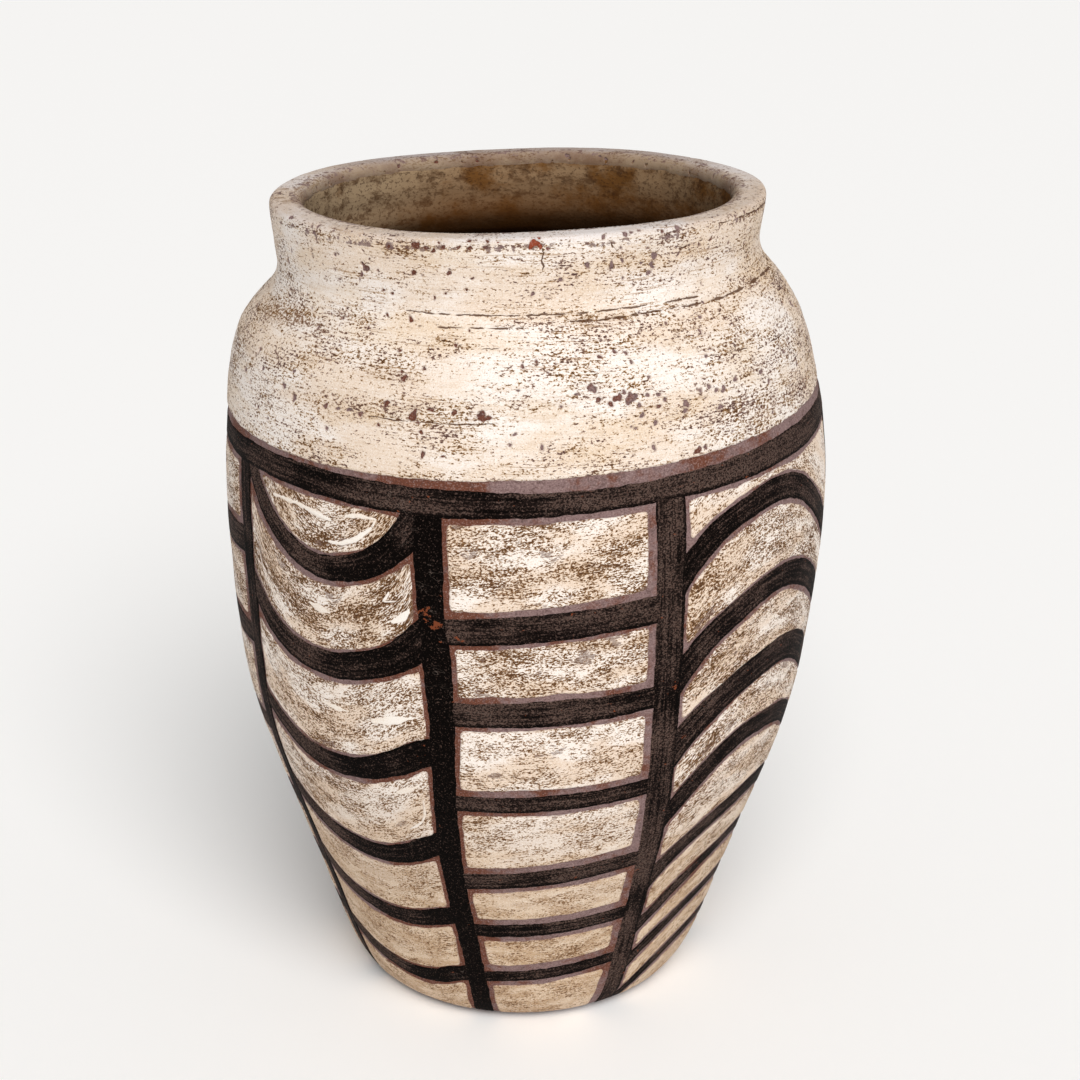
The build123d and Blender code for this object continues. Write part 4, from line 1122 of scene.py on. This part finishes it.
def soiled(theta, s):
    z = np.interp(s, SS[:CREST + 1], SZ[:CREST + 1])
    out = np.zeros(len(theta))
    for a, b, da, db, amount in DIRT:
        out = np.maximum(out, amount * np.exp(-(around(theta - a) / da) ** 2 - ((z - b) / db) ** 2))
    return np.where(s < SS[CREST] - 3, out, 0.0)



def edge_of_shoulder(theta):
    th = np.asarray(theta, float)
    z = leaning(CREAM_EDGE_Z, th) + 0.35 * vnoise(th / 3.1, 0.2, 8) + 0.25 * vnoise(th / 0.9, 0.7, 9)
    z = np.where(np.abs(th) > 176, leaning(CREAM_EDGE_Z, 180.0), z)
    return s_of(z)


def chip_at(theta, z, rad, sq=1.2, tr=0.2):
    return (theta * K, float(s_of(z)), rad, sq, tr)


shoulder_chips = [chip_at(*c) for c in [
    (-20.2, 329, 1.7, .75, .1), (-8.0, 330.5, 2.1, 1.2, .1), (-6.8, 330, 1.4, 1.4, .3), (-12.8, 331.5, 1.3, 1.3, 0), (-17, 332, 1.2, 1.5, .1),
    (-25.5, 332.5, 1.5, 1.2, .4), (-33, 327.5, 1.5, 2.0, .1), (-35.4, 327, 1.1, 1.6, .2), (-38.3, 327, 1.2, 1.0, .2), (-30.5, 326.5, 1.1, 1.0, .2),
    (-46.5, 326.5, 1.4, 1.0, .3), (-50, 330, 1.3, 1.0, .1), (-23, 343, 1.5, 1.1, .1), (-13.5, 356, 1.0, 1.1, .1), (-23.6, 364, 1.3, 1.0, .2),
    (11.6, 341, 1.7, .8, .2), (12.6, 336.5, 1.5, 1.6, .3), (14.8, 334.5, 1.2, 1.2, .1), (16.3, 336.8, 2.0, 1.2, .4), (18.6, 336, 2.5, 1.1, .3),
    (17.5, 338.5, 1.1, 1.2, .3), (20.2, 333, 1.0, 1.2, .2), (21.9, 336.5, 1.0, 1.2, .2), (24.2, 336.2, 1.1, 1.2, .2), (25.3, 333.8, 1.0, 1.2, .2),
    (24, 331.5, 1.0, 1.1, .2), (20.6, 328.8, 1.2, 1.3, .2), (29.6, 330.8, 1.3, .8, .1), (29.2, 328, .9, .8, .1), (23, 325, 1.0, 1, .1),
    (33.1, 334.8, .9, 1, .1), (35.2, 335.6, 1.1, 1, .2), (36.8, 333.6, 1.0, 1, .2), (38.6, 333.4, 1.5, 1.2, .2), (42, 336, 1.1, .9, .2),
    (49.8, 335.5, 1.3, 1.1, .2), (51.6, 330.5, 1.2, 1, .2), (14.2, 352, 1.0, 1.2, .1), (17.4, 353.4, 1.2, 1.3, .1), (19.6, 352.6, .9, 1, .1),
    (31.2, 310.8, 1.9, 1.4, .2), (32.8, 311.3, 1.2, 1.2, .1), (-18, 313.5, 1.0, .8, .1), (2.5, 318.5, .8, .7, .1), (-58.5, 333, 1.2, 1, .1),
    (-62, 339, 1.3, 1, .1), (-66, 328, 1.2, 1, .2), (60, 339, 1.2, 1, .1), (64.6, 331, 1.3, 1.1, .2), (-41, 360.8, 1.1, 2.2, .05)]]
for _ in range(150):
    th = rng.uniform(70, 286)
    th = th - 360 if th > 175.5 else th
    if abs(th) > 174:
        continue
    shoulder_chips.append(chip_at(th, rng.uniform(315, 364), rng.uniform(0.7, 2.0) * (1.3 if rng.uniform() < 0.12 else 1), rng.uniform(0.8, 1.8), rng.uniform(-.3, .4)))
for _ in range(70):
    shoulder_chips.append(chip_at(rng.uniform(-70, 70), rng.uniform(313, 366), rng.uniform(0.55, 1.0), rng.uniform(0.8, 1.7), rng.uniform(-.3, .4)))


def score(z0, z1, t0, t1, seed, n=14):
    ts = np.linspace(t0, t1, n)
    return [(t * K, float(s_of(z0 + (z1 - z0) * k / (n - 1) + 0.25 * math.sin(1.7 * k + seed)))) for k, t in enumerate(ts)]


def line_of(*points):
    return [(a * K, float(s_of(z))) for a, z in points]


def star(theta, z, size):
    """Short cracks running out from a pit."""
    return [([(theta * K, float(s_of(z))), (theta * K + size * a, float(s_of(z)) + size * b)], 0.24)
            for a, b in ((1.3, 0.35), (-1.0, 0.7), (-0.5, -1.0), (0.7, -0.9))]


shoulder_cracks = [(line_of((-25, 367.4), (-19.7, 367.3), (-14, 367.4), (-6, 367.5), (1, 367.6), (9, 367.7), (15, 367.8), (20, 368.0), (26, 368.1), (32, 368.1), (42, 368.0)), 0.32),
                   (line_of((-22, 361.9), (-15, 362.3), (-10.5, 362.6), (-4, 362.6), (0.8, 362.8)), 0.32),
                   (line_of((10, 364.8), (17, 364.6), (23, 365.1), (27.5, 365.5), (34, 365.5), (40, 365.4), (45, 365.3)), 0.38),
                   (line_of((44, 365.3), (50, 365.4), (56, 365.8), (64.5, 366.2), (72, 366.0), (80, 365.4)), 0.52),
                   (line_of((50, 344.4), (56, 345.0), (62, 345.3)), 0.24), (line_of((37, 347.1), (42, 346.5), (48, 346.1)), 0.22),
                   (line_of((-29, 326.5), (-24, 326.3), (-17.5, 326.7), (-11.3, 326.9), (-5.3, 327.8)), 0.20), (line_of((-12.5, 354.6), (-8, 355.2), (-4.6, 355.6)), 0.18),
                   (score(366.6, 367.2, 84, 172, 6, 40), 0.42), (score(363.0, 366.0, -172, -84, 7, 40), 0.36)]
shoulder_cracks += star(-23.4, 342.8, 2.6) + star(-13.2, 355.9, 2.2) + star(-2.1, 363.4, 2.2) + star(24.4, 336.2, 2.0) + star(60, 339, 2.2) + star(-110, 342, 2.6) + star(140, 336, 2.4)
coat("shoulder_coat", edge_of_shoulder, lambda t: np.full(np.shape(t), S_ROOT), shoulder_chips, shoulder_cracks, 2.1, True, 100, 0.5)

neck_chips = [chip_at(*c) for c in [
    (3.4, 397.0, 2.3, 1.2, .1), (4.6, 396.2, 1.3, 1.0, .4), (6.3, 394.8, .9, 1, .2), (-34.5, 384.5, 1.9, .9, .2), (-35.6, 381, 1.1, 1, .2), (-22.4, 384.5, 1.2, .9, .1),
    (-17.6, 394.5, 1.1, 1.4, .1), (-14.4, 385, 1.2, 1.2, .4), (-21.6, 396.6, 2.0, 1.3, .2), (-19.3, 395.6, 1.2, 1.3, .1), (-15.5, 396, 1.3, 1.6, .1), (-12.2, 396.2, 1.2, 1.7, .1),
    (-9.8, 396, 1.2, 1.5, .1), (-6.5, 396.2, 1.2, 1.5, .1), (-64.5, 378, 1.6, .8, .1), (-61.6, 384, 1.2, .9, .1), (-49, 393, 1.0, 1, .1),
    (14.8, 387, 1.1, .9, .1), (20.2, 386, 1.2, .8, .1), (22.6, 387.6, 1.0, 1, .3), (30.4, 388, 1.7, 1.2, .4), (29.8, 384.4, 1.1, .8, .1), (29.2, 381, 1.2, 1, .1), (36.8, 387.2, 1.3, 1.6, .5),
    (33.6, 395.4, 1.5, 1.5, .3), (46.5, 391, 1.2, 1.4, .4), (-28, 395, 1.0, 1.3, .1), (-43, 388, .9, 1, .1), (9.2, 381.5, .9, 1, .2), (-15.4, 376, 1.0, 2.2, .05)]]
lip0, lip1 = float(s_of(396.8)), float(s_in(394.0))
for _ in range(110):
    th = rng.uniform(-174, 174)
    where = lip0 + (lip1 - lip0) * (rng.choice([0.06, 0.1, 0.86, 0.93]) + rng.uniform(-.05, .05))
    neck_chips.append((th * K, where, rng.uniform(0.5, 1.35), rng.uniform(0.9, 2.0), rng.uniform(-.2, .2)))
for _ in range(90):
    th = rng.uniform(60, 290)
    th = th - 360 if th > 174 else th
    if abs(th) < 174:
        neck_chips.append(chip_at(th, rng.uniform(372, 395), rng.uniform(0.6, 1.7), rng.uniform(0.8, 1.7), rng.uniform(-.3, .4)))
for _ in range(46):
    neck_chips.append(chip_at(rng.uniform(-70, 70), rng.uniform(372, 395.5), rng.uniform(0.5, 0.95), rng.uniform(0.8, 1.7), rng.uniform(-.3, .4)))
zz = lambda *p: [(t * K, float(s_of(z))) for t, z in p]
neck_cracks = [(zz((4.8, 396.6), (5.4, 393), (5.0, 390), (5.6, 387.5), (4.9, 384), (5.3, 381.5)), 0.36),
               (zz((5.4, 394.2), (7.2, 394.6), (8.4, 393.6), (9.6, 394.4)), 0.28), (zz((12.0, 396), (12.2, 392.5), (13.4, 391.4)), 0.28),
               (zz((19.8, 396.4), (20.0, 394), (21.6, 391.2), (22.4, 390.6)), 0.36), (zz((36, 389), (40, 390.6), (44, 391.6)), 0.3),
               (zz((40, 397.0), (50, 397.0), (60, 396.8), (70, 396.2), (80, 395.0)), 0.34)]


def edge_of_mouth(theta):
    th = np.asarray(theta, float)
    return s_in(393.4 + (0.9 * vnoise(th / 7, 0.4, 70) + 0.7 * vnoise(th / 1.6, 0.8, 71)) * ramp(180 - np.abs(th), 0.5, 6))


coat("neck_coat", lambda t: np.full(np.shape(t), S_ROOT), edge_of_mouth, neck_chips, neck_cracks, 1.25, False, 200, 0.5,
     np.arange(s_of(396.8), s_of(399.97) + 1.0, 0.42))

# ------------------------------------------------------------------ dark girdle
cols = 900
az = np.linspace(-180, 180, cols, endpoint=False)
seam = ramp(180 - np.abs(az), 0, 4)
lo_z = girdle_low(az) + (0.5 * vnoise(az / 9, 0.1, 50) + 0.3 * vnoise(az / 2.2, 0.4, 51) + 0.16 * vnoise(az / 0.7, 0.1, 54)) * seam
hi_z = girdle_top(az) + (0.5 * vnoise(az / 9, 0.6, 52) + 0.3 * vnoise(az / 2.2, 0.9, 53) + 0.16 * vnoise(az / 0.7, 0.3, 55)) * seam
rows, edge_a, across_a = [], [], []
for k in np.concatenate([[0, .03, .08], np.linspace(.16, .84, 6), [.92, .97, 1.0]]):
    z = lo_z + (hi_z - lo_z) * k
    e = np.minimum(k, 1 - k) * (hi_z - lo_z)
    dome = np.sqrt(1 - (1 - np.minimum(e / 0.8, 1)) ** 2)
    rows.append(place(az, s_of(z), 0.02 + dome * (0.34 + 0.03 * vnoise(az / 1.3, k * 4, 56))))
    edge_a.append(e)
    across_a.append((k - 0.5) * (hi_z - lo_z))
for k in (1.0, 0.0):
    rows.append(place(az, s_of(lo_z + (hi_z - lo_z) * k), -0.15))
    edge_a.append(np.zeros(cols))
    across_a.append((k - 0.5) * (hi_z - lo_z))
make_object("girdle_band", np.vstack(rows), ring_faces(len(rows), cols), DARK, ["girdle_band"],
            {"edge_mm": np.concatenate(edge_a), "across": np.concatenate(across_a),
             "along": np.tile(np.abs(az) * K, len(rows)), "tone": np.full(len(rows) * cols, 0.37),
             "thin": np.tile(0.45 + 0.35 * ramp(az, -8, 14), len(rows)), "bare": np.zeros(len(rows) * cols)})

# ------------------------------------------------------------------ bars
for number, (line, wide, _) in enumerate(BARS, 1):
    bay = Bay(float(line(150.0)), 300 + number)
    p = Patches()
    top_z = float(girdle_low(line(300.0))) - 1.5
    seen = {2: -0.30, 3: 0.65, 1: 0.40}.get(number, 0.15 + 0.6 * (number % 2))
    pts = [(float(line(z)), z) for z in np.linspace(0.8, top_z, 16)]
    stroke(p, bay, pts, wide, 300 + 13 * number, tall=0.29, thin=lambda th, z: np.full(len(z), seen))
    p.build("bar_%d" % number, DARK, "dark_slip")


# ------------------------------------------------------------------ bays
def refitted(points, home, left, right):
    """Points drawn between one pair of bars, carried over to another pair."""
    (a0, _, _), (b0, _, _) = home
    return [(float(left[0](z) + (a - a0(z)) / (b0(z) - a0(z)) * (right[0](z) - left[0](z))), z) for a, z in points]


def moved(strokes, home, left, right, seed, dz=()):
    if home[0] is left and home[1] is right:
        return strokes
    out = []
    for k, (points, clear, widths) in enumerate(strokes):
        d = (dz[k] if k < len(dz) else 0.0) + 0.8 * float(lattice(np.array(seed), np.array(k), 1))
        widths = tuple(w * (1 + 0.04 * float(lattice(np.array(seed), np.array(k), 2))) for w in widths)
        out.append(([(a, z + d) for a, z in refitted(points, home, left, right)], clear, widths))
    return out


def do_bay(strokes, left, right, names, seed, margins, worn, thin, swipes=()):
    middle = float((left[0](170.0) + right[0](170.0)) / 2)
    bay = Bay(middle, seed)
    lines, fields = Patches(), Patches()
    for k, (points, _, widths) in enumerate(strokes):
        stroke(lines, bay, points, widths, seed + 7 * k, tall=0.22, run_on=2.0, thin=thin, between=(left, right))
    chain = [None] + strokes + [None]
    for k in range(len(chain) - 1):
        field(fields, bay, chain[k], chain[k + 1], left, right, margins, seed + 500 + 11 * k, worn=worn[k])
    for k, (points, width) in enumerate(swipes):
        swipe(fields, bay, points, width, seed + 900 + 5 * k)
    lines.build(names[0], DARK, "dark_slip")
    fields.build(names[1], FIELD, "cream_slip")


BEHIND = (turned(BAR_B, -90), W_B, L_B)
for number, (lo, hi) in enumerate([(BARS[1], BARS[2]), (BARS[3], BARS[4]), (BARS[5], BARS[6]), (BEHIND, BARS[0])], 1):
    do_bay(moved(LADDER, (BARS[1], BARS[2]), lo, hi, number, (6, 0.8) if number == 4 else ()), lo, hi,
           ("ladder_rungs_%d" % number, "ladder_panels_%d" % number), 1000 * number, (3.2, 4.5, 2.8, 4.4, 3.0),
           (0.60, 0.70, 0.54, 0.52, 0.55, 0.6, 0.6), lambda th, z: 0.62 - 0.2 * ramp(z, 120, 60))
for number, (lo, hi) in enumerate([(BARS[0], BARS[1]), (BARS[4], BARS[5])], 1):
    home = (BARS[0], BARS[1])
    shade = lambda th, z, lo=lo, hi=hi: 0.75 - 0.6 * ramp((th - lo[0](z)) / (hi[0](z) - lo[0](z)), 0.26, 0.78)
    smears = SWIPES if number == 1 else [(refitted(pts, home, lo, hi), w) for pts, w in SWIPES[::2]]
    do_bay(moved(SWAG, home, lo, hi, 20 + number), lo, hi, ("swag_strokes_%d" % number, "swag_panels_%d" % number),
           5000 + 1000 * number, (2.6, 1.5, 1.8, 2.3, 1.6), (0.80, 0.80, 0.66, 0.62, 0.6, 0.6, 0.6), shade, smears)
for number, (lo, hi) in enumerate([(BARS[2], BARS[3]), (BARS[6], BARS[7])], 1):
    do_bay(moved(ARCH, (BARS[2], BARS[3]), lo, hi, 30 + number), lo, hi, ("arch_strokes_%d" % number, "arch_panels_%d" % number),
           8000 + 1000 * number, (2.6, 1.5, 2.0, 2.0, 1.8), (0.45, 0.72, 0.72, 0.66, 0.62, 0.6, 0.6, 0.6, 0.6), lambda th, z: np.full(len(z), 0.45))

# ------------------------------------------------------------------ stage
floor_mesh = bpy.data.meshes.new("floor")
w = 9.0
floor_mesh.from_pydata([(-w, -w, -0.0002), (w, -w, -0.0002), (w, w, -0.0002), (-w, w, -0.0002)], [], [(0, 1, 2, 3)])
floor = bpy.data.objects.new("floor", floor_mesh)
bpy.context.scene.collection.objects.link(floor)
fm = bpy.data.materials.new("floor")
fm.use_nodes = True
fb = fm.node_tree.nodes["Principled BSDF"]
fb.inputs["Base Color"].default_value = (0.98, 0.98, 0.98, 1)
fb.inputs["Roughness"].default_value = 0.9
fb.inputs["Specular IOR Level"].default_value = 0.1
floor_mesh.materials.append(fm)

world = bpy.data.worlds.new("studio")
bpy.context.scene.world = world
world.use_nodes = True
wt = world.node_tree
side = wt.nodes.new("ShaderNodeSeparateXYZ")
wt.links.new(wt.nodes.new("ShaderNodeTexCoord").outputs["Generated"], side.inputs[0])
level = wt.nodes.new("ShaderNodeMapRange")
for key, v in (("From Min", -1.0), ("From Max", 1.0), ("To Min", 0.27), ("To Max", 0.39)):
    level.inputs[key].default_value = v
wt.links.new(side.outputs[0], level.inputs["Value"])
wt.nodes["Background"].inputs["Color"].default_value = (1.0, 0.995, 0.985, 1)
wt.links.new(level.outputs[0], wt.nodes["Background"].inputs["Strength"])

sun = bpy.data.lights.new("key", "SUN")
sun.energy, sun.angle, sun.color = 2.70, math.radians(42), (1.0, 0.985, 0.965)
key_light = bpy.data.objects.new("key", sun)
key_light.rotation_mode = "QUATERNION"
key_light.rotation_quaternion = Vector((-0.16, 0.80, -0.85)).to_track_quat("-Z", "Y")
key_light.location = (0.6, -1.2, 1.5)
bpy.context.scene.collection.objects.link(key_light)

# camera at the photograph's angle
F_PX, CAM_D, CAM_H = 1972.9, 0.91896, 0.57604
pitch, roll, yaw = math.radians(20.985), math.radians(0.138), math.radians(0.59)
fwd = Vector((math.sin(yaw) * math.cos(pitch), math.cos(yaw) * math.cos(pitch), -math.sin(pitch)))
right = Vector((math.cos(yaw), -math.sin(yaw), 0))
up = right.cross(fwd)
r2 = right * math.cos(roll) + up * math.sin(roll)
u2 = up * math.cos(roll) - right * math.sin(roll)
cam_data = bpy.data.cameras.new("camera")
cam_data.sensor_width = 36.0
cam_data.lens = F_PX / 1080 * 36.0
cam_data.clip_start, cam_data.clip_end = 0.05, 60
cam = bpy.data.objects.new("camera", cam_data)
cam.matrix_world = Matrix(((r2.x, u2.x, -fwd.x, 0.0), (r2.y, u2.y, -fwd.y, -CAM_D), (r2.z, u2.z, -fwd.z, CAM_H), (0, 0, 0, 1)))
bpy.context.scene.collection.objects.link(cam)
bpy.context.scene.camera = cam
bpy.context.scene.view_settings.view_transform = "Standard"
